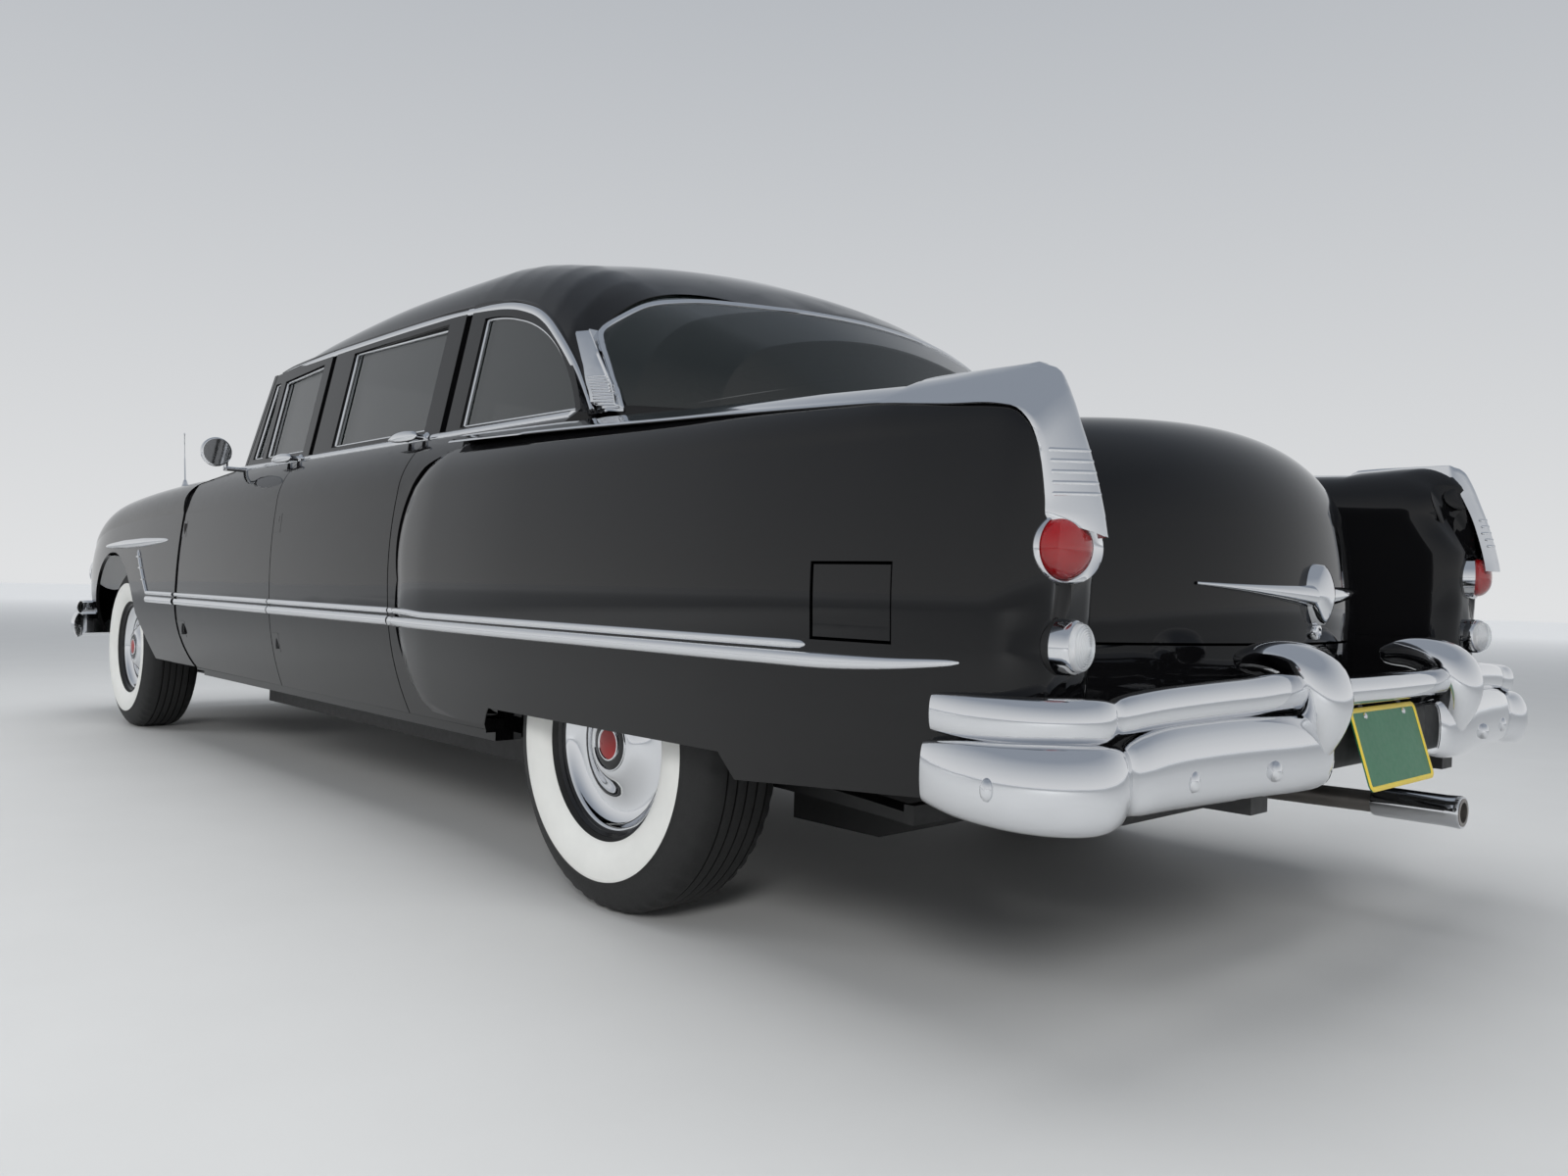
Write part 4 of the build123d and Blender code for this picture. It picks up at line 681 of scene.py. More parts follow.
def make_spears():
    """Two beads. On the quarter panel the upper one stops short and the lower one rises to a point."""
    upper, lower = half_round(17, 8), half_round(27, 11)
    for name, x0, x1, body, count in SPEAR_SPANS:
        side_strip(f"spear_upper_{name}", [(x, 609) for x in spaced(x0, x1, count)], upper, body)
        side_strip(f"spear_lower_{name}", [(x, 582) for x in spaced(x0, x1, count)], lower, body)
    line = [(x, 605 if x < -900 else 609) for x in spaced(-770, UPPER_END, 14)]
    side_strip("spear_upper_quarter", line, upper, "body", pointed(0, 0.02))
    line = [(x, 581 + 14 * max(0.0, (UPPER_END - x) / (UPPER_END - LOWER_END)) ** 2)
            for x in spaced(-770, LOWER_END, 14)]
    side_strip("spear_lower_quarter", line, lower, "body", pointed(0, 0.14))


make_spears()

# %% Belt moulding
BELT_Z = 1075
BELT_SPANS = [("front_door", 733, 132, "door_front_{}"), ("rear_door", 124, -776, "door_rear_{}"),
              ("quarter", -788, -1468, "body")]

for span, x0, x1, body in BELT_SPANS:
    side_strip(f"belt_{span}", [(x, BELT_Z) for x in spaced(x0, x1, 8)], half_round(25, 8), body)
print("spears and belt made")

# %% [markdown]
# ## Rear fenders
# The rear fender is the longest sheet of enamel that the camera sees, and its corners are soft. The CAD
# solid has the shape but not the soft corners, so the skin is drawn again here from the same sections: a
# grid whose rows follow the fender's front edge, run level along the middle, and roll inward at the tail.

# %% The fender's sections
FENDER_ROWS = [(-785, 948, 1050), (-1035, 974, 1050), (-1475, 985, 1046), (-2095, 985, 1030),
               (-2505, 974, 1024), (-2695, 956, 1030), (-2785, 938, 1030), (-2840, 915, 1026)]
INNER_Y, FIN_Y = 745.0, 849.0


def along_table(rows, place, column):
    """A value of a table at a place in its first column, smooth between rows and never past them."""
    if (rows[0][0] - place) * (rows[0][0] - rows[-1][0]) <= 0:
        return rows[0][column]
    for i in range(len(rows) - 1):
        p, q = rows[i][0], rows[i + 1][0]
        if min(p, q) <= place <= max(p, q):
            rise = [(b[column] - a[column]) / (b[0] - a[0]) for a, b in zip(rows, rows[1:])]
            slopes = [rise[0]] + [2 * a * b / (a + b) if a * b > 0 else 0.0 for a, b in zip(rise, rise[1:])] \
                + [rise[-1]]
            m0, m1 = slopes[i], slopes[i + 1]
            span, t = q - p, (place - p) / (q - p)
            a, b = rows[i][column], rows[i + 1][column]
            return ((1 - t) * a + t * b
                    + t * (1 - t) * ((1 - t) * (m0 * span - (b - a)) + t * (b - a - m1 * span)))
    return rows[-1][column]


def straight(points, place):
    """A value between listed (place, value) points, in straight lines."""
    points = sorted(points)
    if place <= points[0][0]:
        return points[0][1]
    for (p, a), (q, b) in zip(points, points[1:]):
        if place <= q:
            return a + (b - a) * (place - p) / (q - p)
    return points[-1][1]


# the lower edge as (x, z), then the ends as (z, x)
FENDER_LOW = [
    (-2745, 396), (-2375, 372), (-2190, 358), (-2155, 404), (-1330, 404), (-1295, 362), (-1125, 362),
]
FENDER_FRONT = [(z, x) for x, z in trace((-1125, 362), (-815, 520, -806, 690), (-840, 930, -1187, 1020),
                                         (-1205, 1062), step=15)]
FENDER_TAIL = [(z, x) for x, z in trace((-2745, 390), (-2778, 500, -2786, 640), (-2792, 800, -2792, 890),
                                        (-2770, 985, -2738, 1034), step=15)]
FENDER_CROWN = [(-2531, 1029), (-2513, 1016), (-2075, 1038), (-1205, 1062)]
ROUND_OFF = 58.0  # how far ahead of the tail its corner starts to roll inward
FIRST_STATION = -1250
# the fuel door's opening: its x and z from and to
OPENING_X, OPENING_Z = (-2567.5, -2398.5), (613.5, 739.5)


def fender_ring(x, inset):
    """The section at x, drawn in by an inset, from the outer bottom edge over the crown to the inner one."""
    wide, top = along_table(FENDER_ROWS, x, 1) - inset, along_table(FENDER_ROWS, x, 2)
    top = min(top, straight(FENDER_CROWN, x)) - inset
    low = straight(FENDER_LOW, x) + inset * 0.4
    side = arc((wide - 50, 300), (wide - 12, 480), (wide, 640), 40)
    side += arc((wide, 640), (wide - 4, 800), (wide - 26, 930), 40)[1:]
    heights = [(z, y) for y, z in side]
    marks = spaced(low, 614, 10) + [640, 665, 690, 714] + spaced(739, 926, 8)
    ring = [(straight(heights, z), z) for z in marks]
    ring += arc((wide - 26, 930), (wide - 60, 1000 - inset * 0.4), (FIN_Y + 8, top), 14)
    ring += arc((FIN_Y - 8, top), (INNER_Y + 26, 990 - inset), (INNER_Y + inset, 900), 10)
    return ring + [(INNER_Y + inset, z) for z in spaced(900, low, 12)[1:]]


def fender_grid():
    """Rows of points from the front edge to the tail, then a last row that closes the tail.

    A row's place along the fender depends on the height, and the height on the section there, so the two
    are found in turn a few times."""
    stations = sorted({-1295, -1330, -2155, -2190, -2399, -2567, *range(FIRST_STATION, -2600, -34)},
                      reverse=True)
    rows = [("front", (i / 16) ** 1.3, 11 * (1 - min(1.0, i / 5)) ** 2.2) for i in range(16)]
    rows += [("middle", x, 0.0) for x in stations]
    rows += [("tail", (i + 1) / 9, 0.0) for i in range(9)]
    rows += [("roll", math.pi / 2 * (i + 1) / 9, 0.0) for i in range(9)]
    points = []
    columns = len(fender_ring(-1500, 0))
    for kind, value, inset in rows:
        for j in range(columns):
            x = {"front": -1100, "middle": value, "tail": -2700, "roll": -2800}[kind]
            for _ in range(1 if kind == "middle" else 4):
                y, z = fender_ring(x, inset)[j]
                front = straight(FENDER_FRONT, z) if j < 40 else -1205
                back = straight(FENDER_TAIL, z) + ROUND_OFF
                if kind == "front":
                    x = front + (FIRST_STATION - front) * value
                elif kind == "tail":
                    x = stations[-1] + (back - stations[-1]) * value
                elif kind == "roll":
                    x = back - ROUND_OFF * math.sin(value)
                    inset = ROUND_OFF * (1 - math.cos(value))
            if kind in ("tail", "roll") and z > 820:
                share = value if kind == "tail" else 1.0
                x += 55 * min(1.0, max(0.0, 842 - y) / 50) * min(1.0, (z - 820) / 80) * share
            points.append((x, y, z))
    last = points[-columns:]
    points += [((a[0] + b[0]) / 2 - 0.5, (a[1] + b[1]) / 2, (a[2] + b[2]) / 2)
               for a, b in zip(last, reversed(last))]
    return points, quads(len(rows) + 1, columns)


def in_opening(point):
    x, y, z = point
    return OPENING_X[0] <= x <= OPENING_X[1] and OPENING_Z[0] <= z <= OPENING_Z[1] and y > 900


def make_rear_fenders():
    points, faces = fender_grid()
    holed = [face for face in faces if not all(in_opening(points[v]) for v in face)]
    for side, shape in (("left", (points, holed)), ("right", mirrored(points, faces))):
        made = piece(f"rear_fender_skin_{side}", *shape, PAINT, "body", "paint", 42)
        thicken([made], 0.0025)
        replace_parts(made, f"rear_fender_{side}")
    print("rear fenders", len(points), "points a side")


make_rear_fenders()

# %% [markdown]
# ## Bright caps, bumpers and window trim
# The chrome along the fender's crown widens toward the tail, steps up on to the fin, turns the corner
# and runs down to the lamp. It is drawn as rows across the crown, each from the outer edge over the
# ridge to the inner edge. The bumper bars are lofts too, fat at the corners and drawn in beside them.

# %% Fin cap
# ridge x and z, outer edge x, y and z, inner edge y and its drop below the ridge
CAP_ROWS = [
    (-1004, 1060, -1004, 905, 1040, 835, 4), (-1300, 1056, -1300, 919, 1032, 825, 8),
    (-1584, 1051, -1584, 925, 1024, 812, 12), (-1940, 1038, -1940, 931, 1011, 806, 20),
    (-2139, 1033, -2139, 930, 1005, 808, 26), (-2449, 1021, -2449, 929, 993, 822, 34),
    (-2506, 1020, -2506, 929, 989, 827, 38), (-2526, 1031, -2530, 929, 987, 832, 44),
    (-2625, 1033, -2628, 927, 977, 836, 46), (-2700, 1032, -2694, 923, 973, 837, 46),
    (-2750, 1027, -2727, 919, 968, 838, 42), (-2770, 1016, -2748, 914, 961, 838, 36),
    (-2780, 1000, -2764, 910, 946, 838, 26), (-2792, 974, -2777, 905, 924, 838, 12),
    (-2806, 938, -2784, 901, 893, 838, 4), (-2822, 896, -2788, 899, 858, 838, 0),
    (-2838, 843, -2789, 898, 828, 838, 0), (-2849, 798, -2790, 898, 808, 836, 0),
    (-2853, 776, -2794, 892, 800, 832, 0),
]


def crown(x, y):
    """How high the fender's own crown is at a point, or nothing outside it."""
    ring = fender_ring(x, 0)
    tops = [a[1] + (b[1] - a[1]) * (y - a[0]) / (b[0] - a[0]) for a, b in zip(ring, ring[1:])
            if min(a[1], b[1]) > 925 and min(a[0], b[0]) <= y <= max(a[0], b[0]) and a[0] != b[0]]
    return max(tops, default=0.0)


def cap_row(ridge_x, ridge_z, edge_x, edge_y, edge_z, inner_y, drop):
    """One row of the cap: a swept outer flank, a firm ridge and a short inner flank."""
    tail = max(0.0, min(1.0, (-2745 - ridge_x) / 50))
    outer, ridge = Vector((edge_x, edge_y, edge_z)), Vector((ridge_x, 849, ridge_z))
    flank = []
    for share, lift in ((0.3, 2.5), (0.62, 4.5), (0.85, 4.0)):
        mid = outer.lerp(ridge, share)
        flank.append(mid + Vector((-0.8 * tail, 0.3, 1 - 0.8 * tail)) * lift)
    inner = Vector((ridge_x + 24 * tail, inner_y, ridge_z - drop))
    line = [outer + Vector((1.5, 2, -3)) * (1 - tail) + Vector((5, 1, 0)) * tail, outer, *flank, ridge,
            ridge.lerp(inner, 0.3) + Vector((0, 0, 1 - tail)), inner]
    fine = smooth([tuple(p) for p in line], 1.5)
    row = [fine[round(i * (len(fine) - 1) / 30)] for i in range(31)]
    return [(x, y, max(z, crown(x, y) + 3) if x > -2745 and 0 < i < 30 else z)
            for i, (x, y, z) in enumerate(row)]


def at_level(grid, column, level):
    """Where a column of the cap's grid passes a height on its way down the tail."""
    line = [row[column] for row in grid]
    for a, b in zip(line, line[1:]):
        if a[0] < -2755 and a[2] >= level > b[2]:
            return tuple(Vector(a).lerp(Vector(b), (a[2] - level) / (a[2] - b[2])))
    return None


def make_fin_caps():
    """The cap, and five ribs across it above the lamp."""
    grid = [cap_row(*row) for row in smooth(CAP_ROWS, 14)]
    made = bright("fin_cap", ([point for row in grid for point in row], quads(len(grid), 31)))
    thicken(made)
    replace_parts(made[0], "fin_caps")
    for k in range(5):
        level = 898 - 15.5 * k
        line = [at_level(grid, j, level + 0.03 * (30 - j)) for j in range(2, 29, 2)]
        line = smooth([point for point in line if point], 5)
        normals = [(-0.75, 0.62, 0.2) if y > 853 else (-1, 0, 0.2) for _, y, _ in line]
        bright(f"fin_rib_{k}", sweep(line, normals, half_round(8, 4.5), scale=pointed(0.05, 0.05)))
    print("fin caps", len(grid), "rows")


make_fin_caps()

# %% Rear bumper
def bar_section(height, bulge, depth, count=14):
    """A bumper bar's face and lips as (out, up), from the lower back edge round to the upper one."""
    angles = [math.pi * (i / count - 0.5) for i in range(count + 1)]
    face = [(bulge * max(0.0, math.cos(a)) ** 0.75, height / 2 * math.sin(a)) for a in angles]
    return [(-depth, 7 - height / 2), (-depth * 0.4, 1 - height / 2), *face,
            (-depth * 0.4, height / 2 - 1), (-depth, height / 2 - 7)]


def bumper_skin(name, rows, whole=True):
    """A bar through rows of numbers as listed below, from its left end.

    A whole bar runs on to the right end, and a half bar is made once a side."""
    lines = smooth(rows, 18)
    if whole:
        lines += [(x, -y, 360 - a, z, h, b, d) for x, y, a, z, h, b, d in reversed(lines[:-1])]
    grid = []
    for x, y, heading, z, height, bulge, depth in lines:
        ahead, aside = math.cos(math.radians(heading)), math.sin(math.radians(heading))
        section = bar_section(height, bulge, depth)
        grid.append([(x + out * ahead, y + out * aside, z + up) for out, up in section])
    columns, last = len(grid[0]), len(grid) - 1
    faces = quads(len(grid), columns)
    faces += [tuple(range(columns)), tuple(range(last * columns, (last + 1) * columns))[::-1]]
    shape = [point for row in grid for point in row], faces
    made = [bright_one(name, shape, angle=60)] if whole else bright(name, shape, angle=60)
    thicken(made)
    return made[0]


# x, y, heading in degrees, middle z, height, bulge, depth behind the face
LOWER_BAR = [
    (-2632, 966, 93, 433, 84, 10, 12), (-2700, 970, 96, 431, 104, 24, 16),
    (-2775, 962, 106, 430, 114, 36, 22), (-2832, 934, 124, 430, 120, 42, 28),
    (-2868, 890, 144, 430, 118, 40, 30), (-2877, 852, 160, 432, 104, 28, 28),
    (-2872, 824, 170, 436, 92, 17, 24), (-2873, 788, 172, 441, 106, 26, 28),
    (-2880, 720, 173, 447, 116, 28, 30), (-2892, 600, 175, 449, 120, 28, 32),
    (-2904, 490, 176, 449, 120, 28, 32), (-2914, 400, 178, 448, 120, 28, 34),
    (-2917, 330, 179, 447, 118, 28, 34), (-2916, 285, 180, 447, 112, 24, 34),
    (-2910, 266, 180, 447, 96, 12, 30),
]
BRIDGE = [
    (-2884, 290, 180, 447, 92, 8, 20), (-2884, 150, 180, 447, 92, 8, 20), (-2884, 0, 180, 447, 92, 8, 20),
]
UPPER_BAR = [
    (-2642, 962, 94, 520, 50, 8, 10), (-2710, 962, 98, 519, 58, 15, 14), (-2785, 946, 112, 519, 62, 20, 18),
    (-2838, 908, 132, 520, 62, 24, 24), (-2862, 864, 154, 521, 56, 20, 26),
    (-2862, 834, 168, 523, 44, 10, 24), (-2862, 800, 171, 527, 50, 17, 26),
    (-2868, 720, 173, 533, 54, 20, 28), (-2880, 600, 175, 538, 55, 20, 28),
    (-2890, 490, 177, 541, 56, 20, 30), (-2900, 410, 179, 546, 56, 21, 30),
    (-2908, 330, 180, 543, 54, 22, 30), (-2914, 200, 180, 541, 46, 25, 30),
    (-2916, 0, 180, 541, 46, 27, 30),
]


GUARD_Y = 320
# x, z, half width, half depth across the horn
GUARD_SPINE = [(-2796, 586, 30, 18), (-2812, 590, 40, 25), (-2850, 594, 49, 33), (-2890, 587, 55, 39),
               (-2922, 567, 57, 44), (-2936, 533, 54, 43), (-2932, 495, 45, 39), (-2923, 458, 32, 30),
               (-2915, 430, 19, 19), (-2912, 414, 7, 8)]
# x, y, z and heading in degrees of the bolts in the lower bar
BUMPER_BOLTS = [(-2773, 1000, 428, 105), (-2911, 695, 430, 173), (-2937, 487, 430, 176)]
# a bracket's foot and upright: x from and to, z from and to
BRACKET_BARS = [(-2860, -2755, 350, 390), (-2885, -2860, 350, 480)]
BOX_FACES = [(0, 1, 3, 2), (4, 6, 7, 5), (0, 4, 5, 1), (2, 3, 7, 6), (0, 2, 6, 4), (1, 5, 7, 3)]


def guard_shape(y):
    """A horn that comes level out of the bars, bends down at its tip and narrows to a hooked foot."""
    rows = smooth(GUARD_SPINE, 7)
    points, steps = [], 32
    for i, (x, z, wide, deep) in enumerate(rows):
        a, b = rows[max(0, i - 1)], rows[min(len(rows) - 1, i + 1)]
        ahead = Vector((b[0] - a[0], 0, b[1] - a[1])).normalized()
        out = Vector((0, 1, 0)).cross(ahead)
        for c, s in turns(steps):
            depth = bent(s, 0.85) * deep
            points.append((x + out.x * depth, y + bent(c, 0.85) * wide, z + out.z * depth))
    return points, tube(len(rows), steps)


def bolt_shape(place, ahead):
    """A domed oval head, taller than it is wide."""
    across = Vector((-ahead.y, ahead.x, 0))
    dome = smooth([(-8, 1.0), (0, 0.97), (5, 0.8), (8, 0.45), (9, 0.01)], 0.8)
    points = [tuple(place + ahead * along + across * (10.5 * share * c) + Vector((0, 0, 17 * share * s)))
              for along, share in dome for c, s in turns(32)]
    return points, quads(len(dome), 32, round_columns=True)


def make_rear_bumper():
    lower = bumper_skin("rear_bumper_lower", LOWER_BAR, whole=False)
    bumper_skin("rear_bumper_upper", UPPER_BAR)
    bridge = bumper_skin("rear_bumper_bridge", BRIDGE)
    bridge.data.materials[0] = CHASSIS
    for side, sign in SIDES:
        bright_one(f"rear_guard_{side}", guard_shape(GUARD_Y * sign), angle=60)
        for k, (x, y, z, heading) in enumerate(BUMPER_BOLTS):
            turn = math.radians(heading)
            shape = bolt_shape(Vector((x, y * sign, z)), Vector((math.cos(turn), sign * math.sin(turn), 0)))
            bright_one(f"bumper_bolt_{side}_{k}", shape)
    points, faces = [], []
    for y in (402, -460):
        for x0, x1, z0, z1 in BRACKET_BARS:
            faces += [tuple(len(points) + i for i in face) for face in BOX_FACES]
            points += [(x, across, z) for x in (x0, x1) for across in (y, y + 58) for z in (z0, z1)]
    piece("rear_bumper_brackets", points, faces, CHASSIS, "body", "chassis")
    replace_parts(lower, "rear_bumper")
    print("rear bumper made")


make_rear_bumper()

# %% Roof skin
# The CAD roof is drawn in many straight-ruled bands, so its points are joined up and shaded as one skin.
def reshade(node, name, angle):
    """The node's own mesh, joined at its seams and shaded smooth up to an angle."""
    mesh = nodes[node].data
    work = bmesh.new()
    work.from_mesh(mesh)
    bmesh.ops.remove_doubles(work, verts=work.verts, dist=0.00003)
    points = [tuple(c / MM for c in v.co) for v in work.verts]
    faces = [tuple(v.index for v in f.verts) for f in work.faces]
    work.free()
    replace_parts(piece(name, points, faces, PAINT, "body", "paint", angle), node)


reshade("roof", "roof_skin", 22)
print("roof joined up")

# %% Drip rail
def near_side(x, y, z, out=0.0):
    """The skin beside a point that was measured, or the point itself where no skin is near."""
    hit, normal, _, _ = SKIN.ray_cast(Vector((x, 1600, z)) * MM, Vector((0, -1, 0)), 4.0)
    if hit is None or abs(hit.y / MM - y) > 30:
        return Vector((x, y + out, z)), Vector((0, 0.97, 0.22))
    return hit / MM + normal * out, normal


DRIP_RAIL = [(640, 740, 1414), (500, 742, 1425), (200, 744, 1432), (-200, 744, 1434), (-560, 744, 1433),
             (-771, 744, 1428), (-993, 749, 1411), (-1128, 757, 1381), (-1218, 766, 1342),
             (-1321, 785, 1272), (-1394, 791, 1201), (-1435, 792, 1141), (-1466, 792, 1088)]


def make_drip_rail():
    """A bright rail over the windows, and a painted gutter above it."""
    line = smooth(DRIP_RAIL, 14)
    outward = [(0, 0.94, 0.34)] * len(line)
    section = [(-10, -4), (-10, 1), (-7, 4), (0, 5.5), (7, 4.5), (10, 1.5), (10, -4)]
    bright("drip_rail", sweep([(x, y + 3, z) for x, y, z in line], outward, section), angle=40)
    gutter = [(x, y - 6, z + 13) for x, y, z in line]
    on_both("gutter", sweep(gutter, outward, half_round(9, 7)), PAINT, "body", "paint", 50)


make_drip_rail()

# %% Rear pillar plate and rear window trim
# the plate's front and rear edges as (z, x), and the window's left half up from its lower corner
PLATE_FRONT = [(1084, -1474), (1133, -1459), (1193, -1429), (1281, -1368)]
PLATE_REAR = [(1088, -1545), (1151, -1525), (1221, -1473), (1290, -1425)]
WINDOW_TOP = [
    (-1545, 764, 1088), (-1525, 773, 1151), (-1473, 761, 1221), (-1425, 752, 1284), (-1432, 728, 1306),
    (-1444, 684, 1334), (-1451, 630, 1364), (-1473, 562, 1382), (-1493, 497, 1396), (-1534, 396, 1401),
    (-1558, 300, 1402), (-1570, 200, 1406), (-1574, 127, 1408), (-1574, 0, 1410),
]
REAR = search_tree("roof", "rear_glass", "rear_deck")


def on_rear(x, y, z):
    """The skin behind a measured point, found along a line from inside the cabin."""
    heading = (Vector((x, y, z)) - Vector((-1000, y * 0.45, 1150))).normalized()
    start = Vector((x, y, z)) + heading * 150
    hit, normal, _, _ = REAR.ray_cast(start * MM, -heading, 0.26)
    if hit is None:
        return Vector((x, y, z)), heading
    return hit / MM, normal if normal.dot(heading) >= 0 else -normal


def across_plate(z, margin, lift):
    """Points and normals across the pillar at a height, clear of the plate's edges by a margin."""
    front, back = straight(PLATE_FRONT, z) - margin, straight(PLATE_REAR, z) + margin
    return [near_side(x, 775, z, lift) for x in spaced(front, back, 8)]


def make_pillar_plate():
    """A bright plate on the rear pillar, ribbed near its foot."""
    points = [tuple(hit) for z in spaced(1285, 1084, 40) for hit, _ in across_plate(z, 0, 3.0)]
    thicken(bright("pillar_plate", (points, quads(41, 9)), angle=60))
    for k in range(11):
        line = across_plate(1092 + 7.5 * k, 8, 6.5)
        bright(f"pillar_rib_{k}", sweep(*zip(*line), half_round(4.6, 3.2)))


def make_window_trim():
    """A moulding over the rear window. Four passes even out the steps between neighbouring hits."""
    half = smooth(WINDOW_TOP, 16)
    whole = half + [(x, -y, z) for x, y, z in reversed(half[:-1])]
    path, normals = zip(*(on_rear(*point) for point in whole))
    for _ in range(4):
        path = [path[0], *((a + b * 2 + c) / 4 for a, b, c in zip(path, path[1:], path[2:])), path[-1]]
    section = [(-9, -5), (-9, 2), (-5, 6), (1, 7), (6, 5), (9, 1), (9, -5)]
    bright_one("rear_window_trim", sweep(path, normals, section), angle=40)


make_pillar_plate()
make_window_trim()
print("pillar plate and rear window trim made")

# %% Window beads
def pane_y(z):
    """Where the side glass stands at a height."""
    return 808 - 0.22 * (z - 1105)


WINDOWS = {
    "front_door_glass": ("door_front_{}", trace((208, 1108), (552, 1108), (546, 1378), (208, 1398),
                                                (208, 1108))),
    "vent_glass": ("door_front_{}", trace((594, 1110), (686, 1110), (643, 1380), (598, 1380), (594, 1110))),
    "rear_door_glass": ("door_rear_{}", trace((-684, 1104), (-42, 1104), (-42, 1406), (-684, 1392),
                                              (-684, 1104))),
    "quarter_glass": ("body", trace((-900, 1096), (-1447, 1092), (-1326, 1236, -1077, 1362),
                                    (-976, 1382, -900, 1388), (-900, 1096))),
}


BRUSHED = plain("brushed_steel", (0.42, 0.42, 0.43), 0.38, 1.0, grain=300.0, depth=0.05, spread=0.1)
CHANNELS = [("rear_door_channel", "door_rear_{}", -24, 1100, 1404),
            ("quarter_channel", "body", -884, 1094, 1388), ("vent_channel", "door_front_{}", 573, 1106, 1384)]


def make_beads():
    """A bead round each pane, and a brushed upright between panes."""
    outward = Vector((0, 0.977, 0.215))
    for name, (body, outline) in WINDOWS.items():
        path = [(x, pane_y(z) + 3.5, z) for x, z in outline[:-1]]
        shape = sweep(path, [outward] * len(path), half_round(7, 4.5, foot=3), closed=True)
        bright(f"{name}_bead", shape, body, 60)
    for name, body, x, low, high in CHANNELS:
        path = [(x, pane_y(z) + 8, z) for z in spaced(low, high, 8)]
        on_both(name, sweep(path, [outward] * 9, half_round(15, 5, foot=8)), BRUSHED, body, "chrome", 50)


make_beads()
print("window beads made")

# %% Door handles
HANDLE_Z, OUTWARD = 1077, (0, 1, 0)


def make_handle(name, body, tip, tail):
    """A grip like a long drop, its point ahead, held off the belt on two feet."""
    rows, steps, points = 40, 24, []
    centre_y = on_side((tip + tail) / 2, BELT_Z)[0].y + 40
    for i in range(rows + 1):
        t = i / rows
        blunt = math.sqrt(max(0.0, 1 - (max(0.0, t - 0.9) / 0.1) ** 2))
        radius = max(0.6, 15 * math.sin(math.pi * (0.06 + t * 0.72)) ** 0.8 * blunt)
        bow = 7 * math.sin(math.pi * t)
        points += [(tip + (tail - tip) * t, centre_y + bow + radius * 0.75 * c, HANDLE_Z + radius * s)
                   for c, s in turns(steps)]
    faces = quads(rows + 1, steps, round_columns=True)
    faces += [tuple(range(steps)), tuple(range(rows * steps, (rows + 1) * steps))[::-1]]
    bright(f"{name}_grip", (points, faces), body, 60)
    stem = smooth([(-3, 15), (2, 15), (7, 10), (14, 8), (26, 8), (40, 10), (46, 9)], 2)
    for foot, share in (("front", 0.34), ("rear", 0.84)):
        x = tip + (tail - tip) * share
        skin = on_side(x, HANDLE_Z)[0]
        bright(f"{name}_{foot}_foot", lathe(stem, (x, skin.y, HANDLE_Z), OUTWARD, 28), body)
    skin = on_side(tail + 14, HANDLE_Z)[0]
    lock = [(-2, 14), (9, 14), (13, 12), (14, 8), (11, 6), (11, 0.05)]
    bright(f"{name}_lock", lathe(lock, (tail + 18, skin.y, HANDLE_Z - 29), OUTWARD, 36), body, 40)


make_handle("front_handle", "door_front_{}", 308, 138)
make_handle("rear_handle", "door_rear_{}", -600, -772)
print("door handles made")

# %% Hinge covers
def make_hinge_covers():
    """The doors' hinge recesses open through the skin, so each gets a thin lid that follows the panel."""
    for name, axis_x in (("front", 1075), ("rear", 83)):
        tree = search_tree(f"door_{name}_left")

        def skin_y(x, z):
            hit = tree.ray_cast(Vector((x, 1600, z)) * MM, Vector((0, -1, 0)), 4.0)[0]
            return hit.y / MM if hit is not None and hit.y > 0.9 else None

        for level, middle in (("low", 480), ("high", 860)):
            edges = []
            for z in (middle - 30, middle + 30):
                front = next(x for x in range(axis_x + 95, axis_x - 20, -1) if skin_y(x, z)) - 1
                edges.append([Vector((x, skin_y(x, z) + 0.7, z)) for x in spaced(axis_x - 22, front, 12)])
            points = [tuple(low.lerp(high, j / 6)) for low, high in zip(*edges) for j in range(7)]
            on_both(f"hinge_cover_{name}_{level}", (points, quads(13, 7)), PAINT, f"door_{name}_{{}}",
                    "paint")


make_hinge_covers()

# %% Fender ornaments
DART = [(2262, 803), (2000, 808), (1700, 813), (1480, 817), (1266, 821)]
LADDER = [(1677, 786), (1640, 742), (1605, 700), (1568, 656), (1530, 611)]
RUNGS = [(1650, 755), (1612, 709), (1573, 661)]

side_strip("fender_dart", DART, half_round(38, 17), "body", pointed(0.36, 0.36))
side_strip("ladder_bar", LADDER, half_round(13, 8), "body", pointed(0.12, 0), step=12)
for k, (x, z) in enumerate(RUNGS):
    rung = [(x + 52 - 8 * k, z), (x + 25, z), (x, z), (x - 10, z)]
    side_strip(f"ladder_rung_{k}", rung, half_round(10, 7), "body", pointed(0.3, 0), step=12)
print("fender darts and ladders made")

# %% Boot wings and lock
WING_REACH, DROP_Z = 349, 706


def on_tail(y, z, out):
    """The point that stands out from the boot lid by so much."""
    hit, normal = strike(TAIL, (-3400, y, z), (1, 0, 0))
    return tuple(hit + normal * out)


